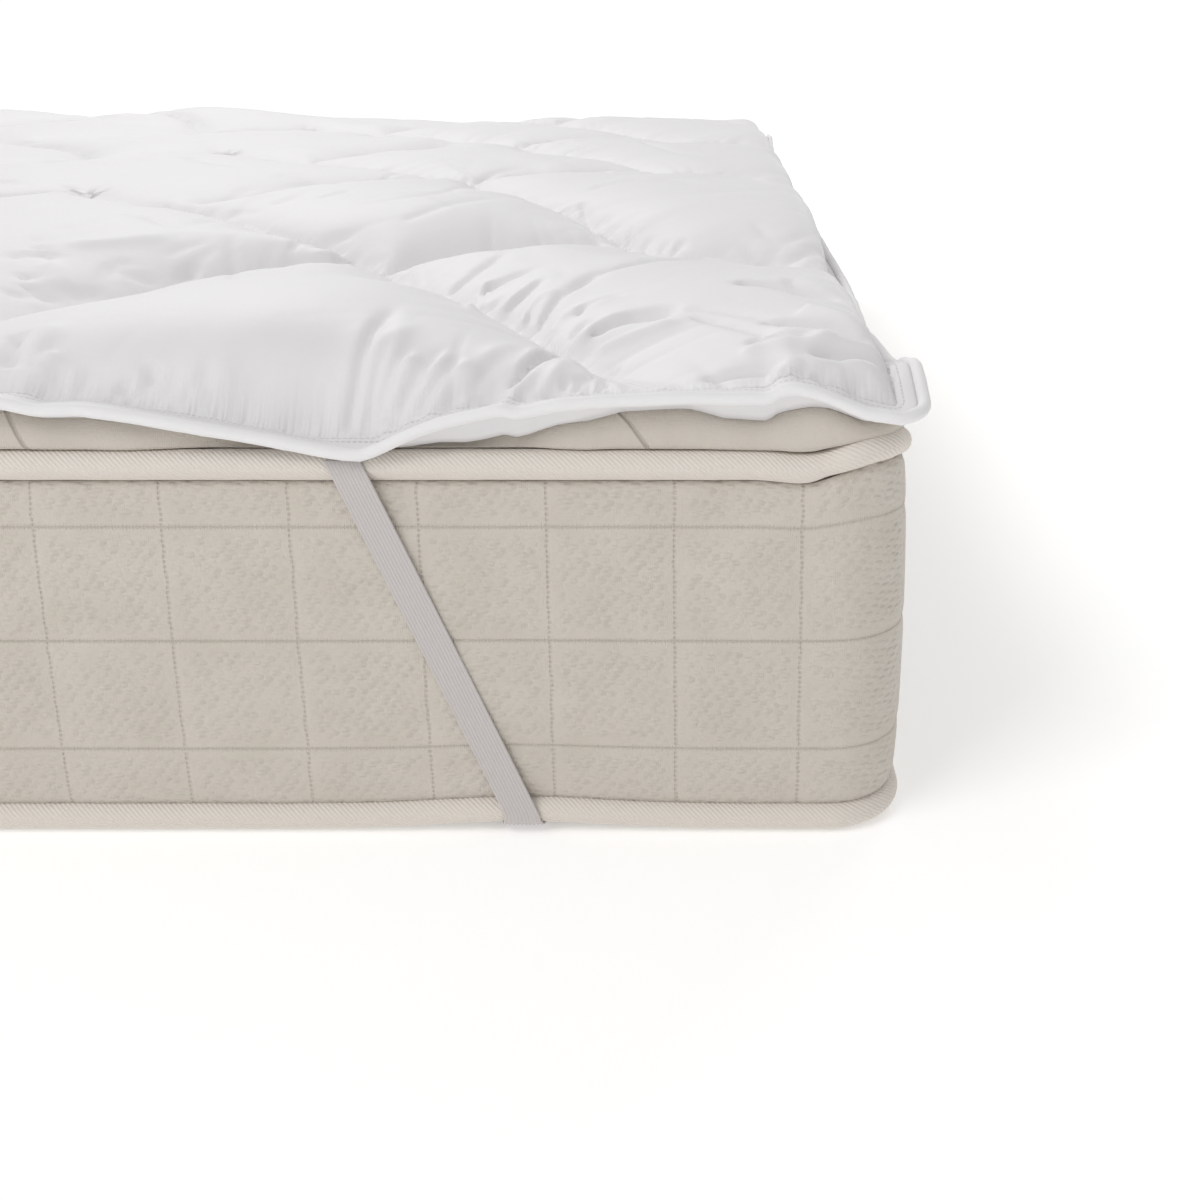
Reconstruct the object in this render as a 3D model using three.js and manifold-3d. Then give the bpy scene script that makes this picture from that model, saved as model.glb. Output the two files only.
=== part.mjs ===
// A quilted mattress topper held on a plain mattress by an elastic strap at each corner.
// Millimetres, +Z up. The origin is the middle of the mattress's underside, which stands on
// the floor. +X runs along the foot end of the mattress, and +Y runs from foot to head.
//
// A place near the rim is given by its inset: how far it lies inside the mattress's side
// face. An inset below zero is outside that face, where the topper hangs over.

import * as THREE from 'three';
import Module from 'manifold-3d';
import { mergeVertices } from 'three/addons/utils/BufferGeometryUtils.js';

// ---------------------------------------------------------------- driving dimensions

const BED_WIDTH = 1600;
const BED_LENGTH = 2000;
const HALF_X = BED_WIDTH / 2;
const HALF_Y = BED_LENGTH / 2;
const MATTRESS_CORNER = 45;       // plan radius of the mattress's corners
const SIDE_SWELL = 2;             // how far the side panel bows out at mid height
const PANEL_LIP = 257;            // the top panel where it leaves its piping
const REST_HEIGHT = 272;          // the flat middle of the mattress's top panel
const PANEL_REACH = 9;            // how fast the top panel rises from its lip
const PANEL_STEPS = [0, 5, 12, 26, 66, 136];   // from the lip inwards, where it is cut

const ROLL_RADIUS = 9.5;          // rolled piping round both edges of the mattress
const ROLL_INSET = 4;
const ROLL_LOW = 10.5;            // height of the lower roll's middle
const ROLL_HIGH = 244;            // height of the upper roll's middle
const ROLL_SEAT = 10.4;           // radius of the groove in which a roll lies
const SEAT_INSET = ROLL_INSET + ROLL_SEAT;
const ROLL_LIFT = 3.5;            // the lower roll, pulled up where a strap passes
const ROLL_LIFT_REACH = 60;

const GAP = 0.4;                  // between cloth pieces that touch
const OVERHANG = 3.6;             // the topper's cloth edge beyond the mattress's side
const TOPPER_CORNER = 24;         // plan radius of the topper's corners
const EDGE_CORNER = TOPPER_CORNER - OVERHANG;   // the same, at the mattress's side face
const FLANGE = 5;                 // thickness of the sewn edge of the topper
const CORD_RADIUS = 4;            // piping cord round the topper
const CORD_INSET = -(OVERHANG + GAP + CORD_RADIUS);
const EDGE_HEIGHT = 286;          // the topper's edge where nothing pulls on it
const END_REACH = 34;             // how fast the filling swells behind an end's edge
const SIDE_REACH = 22;            // and behind a side's edge, which droops
const FOLD_FADE = 120;            // how far a fold of one edge reaches along the next
const DRAPE = 20;                 // width of the strip that bends down over the rim

const QUILT_THIN = 9;             // thickness left at a quilting seam
const QUILT_PUFF = 46;            // what the filling adds in the middle of a pad
const QUILT_REACH = 74;           // how fast the filling swells beside a seam
const QUILT_ROW = 470;            // from one quilting row to the next
const QUILT_ROWS = 5;

const STRAP_WIDTH = 20;
const STRAP_THICK = 1.5;
const STRAP_TOP = HALF_X - 464;   // from the corner to the strap's sewn end
const STRAP_FOOT = HALF_X - 562;  // from the corner to where it turns under the mattress
const STRAP_END_HEIGHT = 248.3;
const CHANNEL_DEPTH = 2.6;        // hollow pressed into the underside by a strap

// ---------------------------------------------------------------- tables

// Quilting seams of one row, from the side edge inwards to the bed's middle line.
// "in": distance from the side edge. "rising" and "falling": distance from the foot end
// of the two seams that cross each other in every row.
const QUILT_LINES = [
  { in: 0, rising: null, falling: 425 },
  { in: 30, rising: null, falling: 415 },
  { in: 80, rising: null, falling: 460 },
  { in: 145, rising: 0, falling: 492 },
  { in: 222, rising: 140, falling: 512 },
  { in: 292, rising: 250, falling: 500 },
  { in: 361, rising: 345, falling: 466 },
  { in: 400, rising: 430, falling: 440 },
  { in: 486, rising: 500, falling: 422 },
  { in: 560, rising: 560, falling: 362 },
  { in: 609, rising: 600, falling: 278 },
  { in: 634, rising: 622, falling: 205 },
  { in: 652, rising: 638, falling: 110 },
  { in: 672, rising: 655, falling: 0 },
  { in: 800, rising: 760, falling: null },
];
const FALLING_ENDS = 645;         // where a falling seam meets the rising one before it

// Height of the topper's edge by the distance from a corner, where the straps pull it down
// and the corners curl up: along the ends, and along the sides.
const END_EDGE = [
  { from_corner: 0, height: 284 },
  { from_corner: 27, height: 280 },
  { from_corner: 58, height: 292 },
  { from_corner: 72, height: 295 },
  { from_corner: 88, height: 289 },
  { from_corner: 142, height: 288 },
  { from_corner: 209, height: 283 },
  { from_corner: 253, height: 278 },
  { from_corner: 280, height: 272 },
  { from_corner: 304, height: 262 },
  { from_corner: 324, height: 253.4 },
  { from_corner: 350, height: 257 },
  { from_corner: 391, height: 265 },
  { from_corner: 447, height: 275 },
  { from_corner: 500, height: 282 },
  { from_corner: 560, height: 286 },
];
const SIDE_EDGE = [
  { from_corner: 0, height: 284 },
  { from_corner: 30, height: 296 },
  { from_corner: 52, height: 303 },
  { from_corner: 80, height: 296 },
  { from_corner: 104, height: 287 },
  { from_corner: 135, height: 276 },
  { from_corner: 180, height: 270 },
  { from_corner: 240, height: 266 },
  { from_corner: 290, height: 260 },
  { from_corner: 324, height: 253.4 },
  { from_corner: 358, height: 259 },
  { from_corner: 410, height: 265 },
  { from_corner: 500, height: 268 },
];

// Broad waves in which the filled cloth lies. "rise" is its height over the flat topper.
const WAVES = [
  { x: -260, y: 880, reach_x: 150, reach_y: 150, rise: 20 },
  { x: -620, y: 800, reach_x: 190, reach_y: 260, rise: 20 },
  { x: 500, y: 850, reach_x: 160, reach_y: 130, rise: 6 },
  { x: 205, y: 860, reach_x: 150, reach_y: 160, rise: -8 },
  { x: 395, y: -800, reach_x: 120, reach_y: 110, rise: 8 },
  { x: 150, y: -740, reach_x: 120, reach_y: 150, rise: -10 },
  { x: 700, y: -640, reach_x: 130, reach_y: 120, rise: -6 },
  { x: 755, y: -962, reach_x: 40, reach_y: 30, rise: 13 },
  { x: 330, y: -700, reach_x: 75, reach_y: 130, rise: -9 },
  { x: 250, y: -790, reach_x: 80, reach_y: 120, rise: -4 },
];

// Grid lines of the topper's upper side: a few near the rim, then the stops of the edge's
// table, then even ones.
const RIM_LINES = [0, 14, 34];
const GRID_STEP = 46;

// ---------------------------------------------------------------- small helpers

const lerp = THREE.MathUtils.lerp;
const clamp = THREE.MathUtils.clamp;

/** One closed body, built from shared points. */
class Body {
  constructor() {
    this.points = [];
    this.faces = [];
  }

  /** Adds points and returns their numbers. */
  ring(points) {
    const first = this.points.length;
    this.points.push(...points);
    return points.map((_, i) => first + i);
  }

  /** Joins two rings of the same count. The outside is to the right of a ring's run. */
  bridge(low, high) {
    const count = low.length;
    for (let i = 0; i < count; i++) {
      const j = (i + 1) % count;
      this.faces.push(low[i], low[j], high[j], low[i], high[j], high[i]);
    }
  }

  /** Closes a ring with a flat cap that faces up or down. */
  cap(ring, up) {
    const plan = ring.map((n) => new THREE.Vector2(this.points[n].x, this.points[n].y));
    for (const [a, b, c] of THREE.ShapeUtils.triangulateShape(plan, [])) {
      this.faces.push(ring[a], ...(up ? [ring[b], ring[c]] : [ring[c], ring[b]]));
    }
  }

  geometry() {
    const geometry = new THREE.BufferGeometry().setFromPoints(this.points);
    geometry.setIndex(this.faces);
    geometry.computeVertexNormals();
    return geometry;
  }
}

/** The rounded outline at an inset, on which "spot" keeps its place from ring to ring. */
function onOutline(spot, corner, inset) {
  const radius = Math.max(corner - inset, 3);
  const x = spot.along.x * (HALF_X - inset - radius) + spot.out.x * radius;
  const y = spot.along.y * (HALF_Y - inset - radius) + spot.out.y * radius;
  return new THREE.Vector2(x, y);
}

/** Even parts of a straight run, from 0 up to but not including 1. */
function evenParts(count) {
  return Array.from({ length: count }, (_, i) => i / count);
}

/** Distances from a corner at which an edge is cut: its table's stops, then even steps. */
function edgeStops(table, half) {
  const stops = table.map((stop) => stop.from_corner).filter((d) => d > RIM_LINES.at(-1));
  const rest = half - stops.at(-1);
  const count = Math.round(rest / GRID_STEP);
  return [...stops, ...evenParts(count).slice(1).map((part) => half - rest * (1 - part))];
}

/** The same stops, as parts of the straight run between two corners of a radius. */
function edgeParts(table, half, corner) {
  const parts = edgeStops(table, half).map((d) => (d - corner) / (half - corner) / 2);
  return [0, ...parts, 0.5, ...parts.map((part) => 1 - part).reverse()];
}

/** Spots round a rounded rectangle, against the clock, at the given parts of its runs. */
function outlineSpots(endParts, sideParts, perCorner) {
  const corners = [[1, -1], [1, 1], [-1, 1], [-1, -1]];
  const spots = [];
  corners.forEach(([sx, sy], turn) => {
    for (const part of evenParts(perCorner)) {
      const angle = ((turn - 1) + part) * Math.PI / 2;
      const out = new THREE.Vector2(Math.cos(angle), Math.sin(angle));
      spots.push({ along: new THREE.Vector2(sx, sy), out });
    }
    const [nx, ny] = corners[(turn + 1) % 4];
    const angle = turn * Math.PI / 2;
    const out = new THREE.Vector2(Math.cos(angle), Math.sin(angle));
    for (const part of turn % 2 === 0 ? sideParts : endParts) {
      spots.push({ along: new THREE.Vector2(lerp(sx, nx, part), lerp(sy, ny, part)), out });
    }
  });
  return spots;
}

/** How far a plan point lies inside the rounded outline of the topper. */
function distanceToRim(x, y) {
  const overX = Math.abs(x) - (HALF_X + OVERHANG - TOPPER_CORNER);
  const overY = Math.abs(y) - (HALF_Y + OVERHANG - TOPPER_CORNER);
  const outside = Math.hypot(Math.max(overX, 0), Math.max(overY, 0));
  return TOPPER_CORNER - outside - Math.min(Math.max(overX, overY), 0);
}

// ---------------------------------------------------------------- how the cloth lies

/** Height of the mattress's top panel at an inset. */
function panelHeight(inset) {
  const rise = 1 - Math.exp(-Math.max(inset - SEAT_INSET, 0) / PANEL_REACH);
  return inset >= 100 ? REST_HEIGHT : PANEL_LIP + (REST_HEIGHT - PANEL_LIP) * rise;
}

/** The height that an edge's table gives at a distance from the corner. */
function tableHeight(table, distance) {
  const next = table.findIndex((stop) => stop.from_corner > distance);
  if (next < 0) return table.at(-1).height;
  const [before, after] = [table[next - 1], table[next]];
  const part = (distance - before.from_corner) / (after.from_corner - before.from_corner);
  return lerp(before.height, after.height, part);
}

/** Height of the topper's edge at the part of the rim nearest to a plan point. */
function edgeHeight(x, y) {
  const fromEnd = Math.max(HALF_Y - Math.abs(y), 0);
  const fromSide = Math.max(HALF_X - Math.abs(x), 0);
  const fade = (across) => Math.exp(-((across / FOLD_FADE) ** 2));
  return EDGE_HEIGHT
    + (tableHeight(END_EDGE, fromSide) - EDGE_HEIGHT) * fade(fromEnd)
    + (tableHeight(SIDE_EDGE, fromEnd) - EDGE_HEIGHT) * fade(fromSide);
}

/** Points of every quilting seam, from QUILT_LINES, in all rows and on both sides. */
function seamRuns() {
  const runs = [];
  for (let row = 0; row < QUILT_ROWS; row++) {
    for (const line of ['rising', 'falling']) {
      for (const side of [-1, 1]) {
        const last = line === 'falling' && row > 0 ? FALLING_ENDS : HALF_X;
        const stops = QUILT_LINES.filter((stop) => stop[line] !== null && stop.in <= last);
        runs.push(stops.map((stop) => (
          new THREE.Vector2(side * (HALF_X - stop.in), stop[line] + row * QUILT_ROW - HALF_Y)
        )));
      }
    }
  }
  return runs;
}

const SEAMS = seamRuns();

/** Distance from a plan point to the nearest quilting seam. */
function distanceToSeam(x, y) {
  const here = new THREE.Vector2(x, y);
  const step = new THREE.Vector2();
  const offset = new THREE.Vector2();
  let nearest = Infinity;
  for (const run of SEAMS) {
    for (let i = 1; i < run.length; i++) {
      step.subVectors(run[i], run[i - 1]);
      offset.subVectors(here, run[i - 1]);
      const t = clamp(offset.dot(step) / step.lengthSq(), 0, 1);
      nearest = Math.min(nearest, offset.addScaledVector(step, -t).length());
    }
  }
  return nearest;
}

/** Height of the topper's upper side. */
function topperTop(x, y) {
  const swell = 1 - Math.exp(-distanceToSeam(x, y) / QUILT_REACH);
  let height = REST_HEIGHT + QUILT_THIN + QUILT_PUFF * swell;
  for (const wave of WAVES) {
    const off = ((x - wave.x) / wave.reach_x) ** 2 + ((y - wave.y) / wave.reach_y) ** 2;
    height += wave.rise * Math.exp(-off);
  }
  const edge = edgeHeight(x, y) + FLANGE / 2;
  const fromEnd = HALF_Y + OVERHANG - Math.abs(y);
  const swollen = (distance, reach) => 1 - Math.exp(-distance / reach);
  return lerp(edge, height,
    swollen(distanceToRim(x, y), SIDE_REACH) * swollen(fromEnd, END_REACH));
}

/** Height of the topper's underside: flat on the mattress, then bent down over its rim. */
function topperUnderside(x, y, inset) {
  const drop = clamp(1 - (inset + OVERHANG) / DRAPE, 0, 1);
  const rest = panelHeight(inset) + Math.max(GAP, 2 - Math.max(inset, 0) / 60);
  return lerp(rest, edgeHeight(x, y) - FLANGE / 2, drop);
}

// ---------------------------------------------------------------- the pieces

/** The filled, quilted pad. Its upper side is a grid, its underside a few rings. */
function quiltedPad() {
  const lines = (half, table) => {
    const rim = RIM_LINES.map((inset) => half + OVERHANG - inset);
    const right = [...rim, ...edgeStops(table, half).map((d) => half - d)];
    return [...right.map((v) => -v), 0, ...right.reverse()];
  };
  const edgeX = HALF_X + OVERHANG;
  const edgeY = HALF_Y + OVERHANG;
  const columns = lines(HALF_X, END_EDGE);
  const rows = lines(HALF_Y, SIDE_EDGE);
  const body = new Body();

  // A square corner of the grid is drawn in to a round one.
  const rounded = (x, y) => {
    const u = (Math.abs(x) - edgeX + TOPPER_CORNER) / TOPPER_CORNER;
    const v = (Math.abs(y) - edgeY + TOPPER_CORNER) / TOPPER_CORNER;
    if (u <= 0 || v <= 0) return new THREE.Vector2(x, y);
    const roundX = edgeX - TOPPER_CORNER + TOPPER_CORNER * u * Math.sqrt(1 - v * v / 2);
    const roundY = edgeY - TOPPER_CORNER + TOPPER_CORNER * v * Math.sqrt(1 - u * u / 2);
    return new THREE.Vector2(Math.sign(x) * roundX, Math.sign(y) * roundY);
  };

  const grid = rows.map((y) => body.ring(columns.map((x) => {
    const plan = rounded(x, y);
    return new THREE.Vector3(plan.x, plan.y, topperTop(plan.x, plan.y));
  })));
  for (let r = 1; r < rows.length; r++) {
    for (let c = 1; c < columns.length; c++) {
      const [a, b, d, e] = [grid[r - 1][c - 1], grid[r - 1][c], grid[r][c], grid[r][c - 1]];
      body.faces.push(a, b, d, a, d, e);
    }
  }

  // The grid's border, against the clock, is the rim that the underside's rings start from.
  const last = columns.length - 1;
  const border = [
    ...grid[0].slice(0, last),
    ...grid.slice(0, -1).map((row) => row[last]),
    ...grid.at(-1).slice(1).reverse(),
    ...grid.slice(1).map((row) => row[0]).reverse(),
  ];
  const spots = border.map((n) => {
    const { x, y } = body.points[n];
    const along = new THREE.Vector2(
      clamp(x / (edgeX - TOPPER_CORNER), -1, 1),
      clamp(y / (edgeY - TOPPER_CORNER), -1, 1),
    );
    const out = new THREE.Vector2(
      x - along.x * (edgeX - TOPPER_CORNER),
      y - along.y * (edgeY - TOPPER_CORNER),
    ).normalize();
    return { along, out };
  });
  const insets = [-OVERHANG, 5, 11, ...PANEL_STEPS.map((step) => SEAT_INSET + step)];
  const rings = insets.map((inset) => {
    return body.ring(spots.map((spot) => {
      const { x, y } = onOutline(spot, EDGE_CORNER, inset);
      return new THREE.Vector3(x, y, topperUnderside(x, y, inset));
    }));
  });
  body.bridge(rings[0], border);
  for (let i = 1; i < rings.length; i++) body.bridge(rings[i], rings[i - 1]);
  body.cap(rings.at(-1), false);
  return body.geometry();
}

/** A closed round cord along an outline; "height" gives its middle at a plan point. */
function edgeCord(spots, corner, inset, radius, sides, height) {
  const body = new Body();
  const rings = spots.map((spot) => {
    const middle = onOutline(spot, corner, inset);
    const level = height(middle.x, middle.y);
    return body.ring(Array.from({ length: sides }, (_, i) => {
      const angle = -2 * Math.PI * i / sides;
      const out = radius * Math.cos(angle);
      return new THREE.Vector3(
        middle.x + spot.out.x * out,
        middle.y + spot.out.y * out,
        level + radius * Math.sin(angle),
      );
    }));
  });
  rings.forEach((ring, i) => body.bridge(ring, rings[(i + 1) % rings.length]));
  return body.geometry();
}

/** Height of the lower roll's middle, which a strap pulls up where it turns under. */
function lowRollHeight(x, y) {
  const fromEnd = HALF_Y - Math.abs(y);
  const fromSide = HALF_X - Math.abs(x);
  const off = Math.max(fromEnd, fromSide) - STRAP_FOOT;
  return ROLL_LOW + ROLL_LIFT * Math.exp(-((off / ROLL_LIFT_REACH) ** 2));
}

/** The mattress: side panel, top panel and underside, with a seat for each roll. */
function mattressBody() {
  const seat = (middle, from, to) => Array.from({ length: 4 }, (_, i) => {
    const angle = THREE.MathUtils.degToRad(lerp(from, to, i / 3));
    return {
      inset: ROLL_INSET + ROLL_SEAT * Math.cos(angle),
      height: middle + ROLL_SEAT * Math.sin(angle),
    };
  });
  const sideLow = ROLL_LOW + ROLL_LIFT + ROLL_SEAT;
  const sideHigh = ROLL_HIGH - ROLL_SEAT;
  const swell = [0.08, 0.3, 0.5, 0.7, 0.92].map((part) => ({
    inset: -SIDE_SWELL * Math.sin(Math.PI * part),
    height: lerp(sideLow, sideHigh, part),
  }));
  const panel = PANEL_STEPS.map((step) => ({
    inset: SEAT_INSET + step,
    height: panelHeight(SEAT_INSET + step),
  }));
  const profile = [
    { inset: SEAT_INSET, height: 0 },
    ...seat(ROLL_LOW + ROLL_LIFT, 0, 90),
    ...swell,
    ...seat(ROLL_HIGH, -90, 0),
    ...panel,
  ];
  const body = new Body();
  const spots = outlineSpots(evenParts(10), evenParts(12), 4);
  const rings = profile.map(({ inset, height }) => body.ring(spots.map((spot) => {
    const { x, y } = onOutline(spot, MATTRESS_CORNER, inset);
    return new THREE.Vector3(x, y, height);
  })));
  for (let i = 1; i < rings.length; i++) body.bridge(rings[i - 1], rings[i]);
  body.cap(rings[0], false);
  body.cap(rings.at(-1), true);
  return body.geometry();
}

/** The hollow that a strap presses into the underside, across one corner. */
function strapChannel(sx, sy) {
  const foot = STRAP_FOOT;
  const half = STRAP_WIDTH * Math.SQRT1_2 + 2;
  const inner = SEAT_INSET - 1;
  const outer = -20;
  // Each row gives the distances from the corner along the foot end and along the side.
  const corners = [
    [foot + half, outer], [foot - half, outer], [foot - half, inner],
    [inner, foot - half], [outer, foot - half], [outer, foot + half],
    [inner, foot + half], [foot + half, inner],
  ];
  const plan = corners.map(([x, y]) => new THREE.Vector2(sx * (HALF_X - x), sy * (HALF_Y - y)));
  const shape = new THREE.Shape(plan);
  const depth = CHANNEL_DEPTH + 1;
  return new THREE.ExtrudeGeometry(shape, { depth, bevelEnabled: false }).translate(0, 0, -1);
}

/** One elastic strap, from the topper's end edge under the corner to its side edge. */
function cornerStrap(sx, sy) {
  const wrap = ROLL_RADIUS + 2 * GAP + STRAP_THICK / 2;
  const rollFace = wrap - ROLL_INSET;
  const under = CHANNEL_DEPTH - GAP - STRAP_THICK / 2;
  const turnHeight = ROLL_LOW + ROLL_LIFT;
  const slant = Math.atan2(STRAP_TOP - STRAP_FOOT, STRAP_END_HEIGHT - turnHeight);
  const cut = STRAP_WIDTH / 2 / Math.cos(slant);
  const flatCut = STRAP_WIDTH * Math.SQRT1_2;
  const nearRoll = SEAT_INSET + 1;

  // One half of the run. "along" is the distance from the corner, "inset" and "height"
  // the middle of the strap, "lean" the direction of its outer face, "half" its half width.
  const descent = [
    { along: STRAP_TOP, inset: -rollFace, height: STRAP_END_HEIGHT, lean: 0, half: cut },
    { along: lerp(STRAP_TOP, STRAP_FOOT, 0.5), inset: -rollFace,
      height: lerp(STRAP_END_HEIGHT, turnHeight, 0.5), lean: 0, half: cut },
  ];
  const turn = [0, 30, 60, 90].map((degrees) => {
    const lean = THREE.MathUtils.degToRad(degrees);
    return {
      along: STRAP_FOOT,
      inset: ROLL_INSET - wrap * Math.cos(lean),
      height: turnHeight - wrap * Math.sin(lean),
      lean,
      half: lerp(cut, flatCut, degrees / 90),
    };
  });
  const flat = [{ along: STRAP_FOOT - 3, inset: nearRoll, height: under,
    lean: Math.PI / 2, half: flatCut }];
  const half = [...descent, ...turn, ...flat];

  const section = (stop, onEnd) => {
    const out = new THREE.Vector3(0, -Math.cos(stop.lean), -Math.sin(stop.lean));
    const middle = new THREE.Vector3(
      HALF_X - stop.along, -HALF_Y + stop.inset, stop.height);
    const corners = [[-1, 1], [1, 1], [1, -1], [-1, -1]].map(([across, face]) => (
      middle.clone().addScaledVector(out, face * STRAP_THICK / 2)
        .add(new THREE.Vector3(across * stop.half, 0, 0))
    ));
    if (onEnd) return corners;
    // The side's run is the end's, mirrored in the corner's diagonal.
    return corners.map((p) => new THREE.Vector3(
      HALF_X - (p.y + HALF_Y), -HALF_Y + (HALF_X - p.x), p.z));
  };
  const sections = [
    ...half.map((stop) => section(stop, true)),
    ...half.reverse().map((stop) => section(stop, false)),
  ].map((corners) => corners.map((p) => new THREE.Vector3(sx * p.x, -sy * p.y, p.z)));

  const body = new Body();
  const rings = sections.map((corners) => body.ring(corners));
  const mirrored = sx * -sy < 0;
  const run = mirrored ? rings : [...rings].reverse();
  for (let i = 1; i < run.length; i++) body.bridge(run[i - 1], run[i]);
  const [first, final] = [run[0], run.at(-1)];
  body.faces.push(first[0], first[2], first[1], first[0], first[3], first[2]);
  body.faces.push(final[0], final[1], final[2], final[0], final[2], final[3]);
  return body.geometry();
}

// ---------------------------------------------------------------- cutting

const wasm = await Module();
wasm.setup();

/** A three.js geometry as a manifold solid. */
function toSolid(geometry) {
  const bare = geometry.clone();
  for (const name of ['normal', 'uv']) bare.deleteAttribute(name);
  const merged = mergeVertices(bare, 1e-4);
  return new wasm.Manifold(new wasm.Mesh({
    numProp: 3,
    vertProperties: new Float32Array(merged.attributes.position.array),
    triVerts: new Uint32Array(merged.index.array),
  }));
}

/** A manifold solid back as a three.js geometry. */
function toGeometry(solid) {
  const mesh = solid.getMesh();
  const geometry = new THREE.BufferGeometry();
  geometry.setAttribute('position', new THREE.BufferAttribute(mesh.vertProperties, 3));
  geometry.setIndex(new THREE.BufferAttribute(mesh.triVerts, 1));
  geometry.computeVertexNormals();
  return geometry;
}

// ---------------------------------------------------------------- assembly

const CLOTH = {
  microfibre: { color: 0xf2f0f2, roughness: 0.72, metalness: 0 },
  cotton_cord: { color: 0xece9e6, roughness: 0.8, metalness: 0 },
  ticking: { color: 0xd6ccc0, roughness: 0.9, metalness: 0 },
  twill: { color: 0xdcd4c9, roughness: 0.88, metalness: 0 },
  elastic: { color: 0xc9c2bf, roughness: 0.75, metalness: 0 },
};

function piece(name, geometry, cloth) {
  const mesh = new THREE.Mesh(geometry, new THREE.MeshStandardMaterial(CLOTH[cloth]));
  mesh.name = name;
  return mesh;
}

const CORNERS = [
  { name: 'foot_right', sx: 1, sy: -1 },
  { name: 'head_right', sx: 1, sy: 1 },
  { name: 'head_left', sx: -1, sy: 1 },
  { name: 'foot_left', sx: -1, sy: -1 },
];

let mattress = toSolid(mattressBody());
for (const { sx, sy } of CORNERS) mattress = mattress.subtract(toSolid(strapChannel(sx, sy)));

const rollSpots = outlineSpots(evenParts(16), evenParts(20), 5);
const cordSpots = outlineSpots(
  edgeParts(END_EDGE, HALF_X, EDGE_CORNER), edgeParts(SIDE_EDGE, HALF_Y, EDGE_CORNER), 5);
const bed = new THREE.Group();

const mattressGroup = new THREE.Group();
mattressGroup.add(
  piece('mattress', toGeometry(mattress), 'ticking'),
  piece('mattress_top_piping',
    edgeCord(rollSpots, MATTRESS_CORNER, ROLL_INSET, ROLL_RADIUS, 8, () => ROLL_HIGH), 'twill'),
  piece('mattress_bottom_piping',
    edgeCord(rollSpots, MATTRESS_CORNER, ROLL_INSET, ROLL_RADIUS, 8, lowRollHeight), 'twill'),
);

const topperGroup = new THREE.Group();
topperGroup.add(
  piece('topper_pad', quiltedPad(), 'microfibre'),
  piece('topper_piping',
    edgeCord(cordSpots, EDGE_CORNER, CORD_INSET, CORD_RADIUS, 6, edgeHeight),
    'cotton_cord'),
);
for (const { name, sx, sy } of CORNERS) {
  topperGroup.add(piece(`strap_${name}`, cornerStrap(sx, sy), 'elastic'));
}

bed.add(mattressGroup, topperGroup);

export default bed;
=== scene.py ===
import math
from collections import namedtuple

import bmesh
import bpy
import numpy as np
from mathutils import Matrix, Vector, kdtree


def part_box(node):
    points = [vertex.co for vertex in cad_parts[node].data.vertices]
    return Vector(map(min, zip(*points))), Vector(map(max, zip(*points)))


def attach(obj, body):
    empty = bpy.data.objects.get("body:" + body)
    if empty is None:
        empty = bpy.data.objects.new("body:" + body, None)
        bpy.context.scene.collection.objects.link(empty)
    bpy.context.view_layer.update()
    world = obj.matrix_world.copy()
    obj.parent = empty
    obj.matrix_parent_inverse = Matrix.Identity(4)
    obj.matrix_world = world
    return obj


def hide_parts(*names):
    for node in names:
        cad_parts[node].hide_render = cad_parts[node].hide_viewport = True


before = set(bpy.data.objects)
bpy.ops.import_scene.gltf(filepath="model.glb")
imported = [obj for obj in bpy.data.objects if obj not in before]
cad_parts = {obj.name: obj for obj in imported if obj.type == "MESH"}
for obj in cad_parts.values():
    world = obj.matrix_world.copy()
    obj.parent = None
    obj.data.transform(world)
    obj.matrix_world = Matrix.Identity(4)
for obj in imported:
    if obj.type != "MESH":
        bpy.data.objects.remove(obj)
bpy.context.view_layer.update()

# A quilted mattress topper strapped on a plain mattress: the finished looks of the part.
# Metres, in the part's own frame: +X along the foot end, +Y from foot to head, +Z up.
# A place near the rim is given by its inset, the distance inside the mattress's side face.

MM = 0.001
pad_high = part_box("topper_pad")[1]
bed_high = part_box("mattress")[1]
low_roll_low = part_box("mattress_bottom_piping")[0]
top_roll_low, top_roll_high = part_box("mattress_top_piping")
strap_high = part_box("strap_foot_right")[1]

# ---- sizes, as in the part

SIDE_SWELL = 2 * MM
HALF_X = bed_high.x - SIDE_SWELL
HALF_Y = bed_high.y - SIDE_SWELL
HALF = np.array([HALF_X, HALF_Y])
REST_HEIGHT = bed_high.z
MATTRESS_CORNER = 45 * MM

ROLL_RADIUS = (top_roll_high.z - top_roll_low.z) / 2
ROLL_INSET = ROLL_RADIUS - (top_roll_high.x - HALF_X)
ROLL_HIGH = (top_roll_high.z + top_roll_low.z) / 2
ROLL_LOW = low_roll_low.z + ROLL_RADIUS
ROLL_LIFT = 5 * MM  # the lower roll, pulled up where a strap passes
ROLL_LIFT_REACH = 70 * MM

OVERHANG = pad_high.x - HALF_X
TOPPER_CORNER = 18 * MM
FLANGE = 2.8 * MM  # the topper's flat sewn edge
FLANGE_WIDTH = 14 * MM
CORD_RADIUS = 4 * MM
CORD_INSET = -7.6 * MM
EDGE_HEIGHT = 286 * MM  # the topper's edge where nothing pulls on it
EDGE_FADE = 120 * MM  # reach of one edge's shape along the next
REAR_RISE = 3 * MM  # the edge's most rise towards the head
END_REACH = 30 * MM  # how fast the pads rise behind the flange
LONG_REACH = 9 * MM  # and at the long sides

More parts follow.
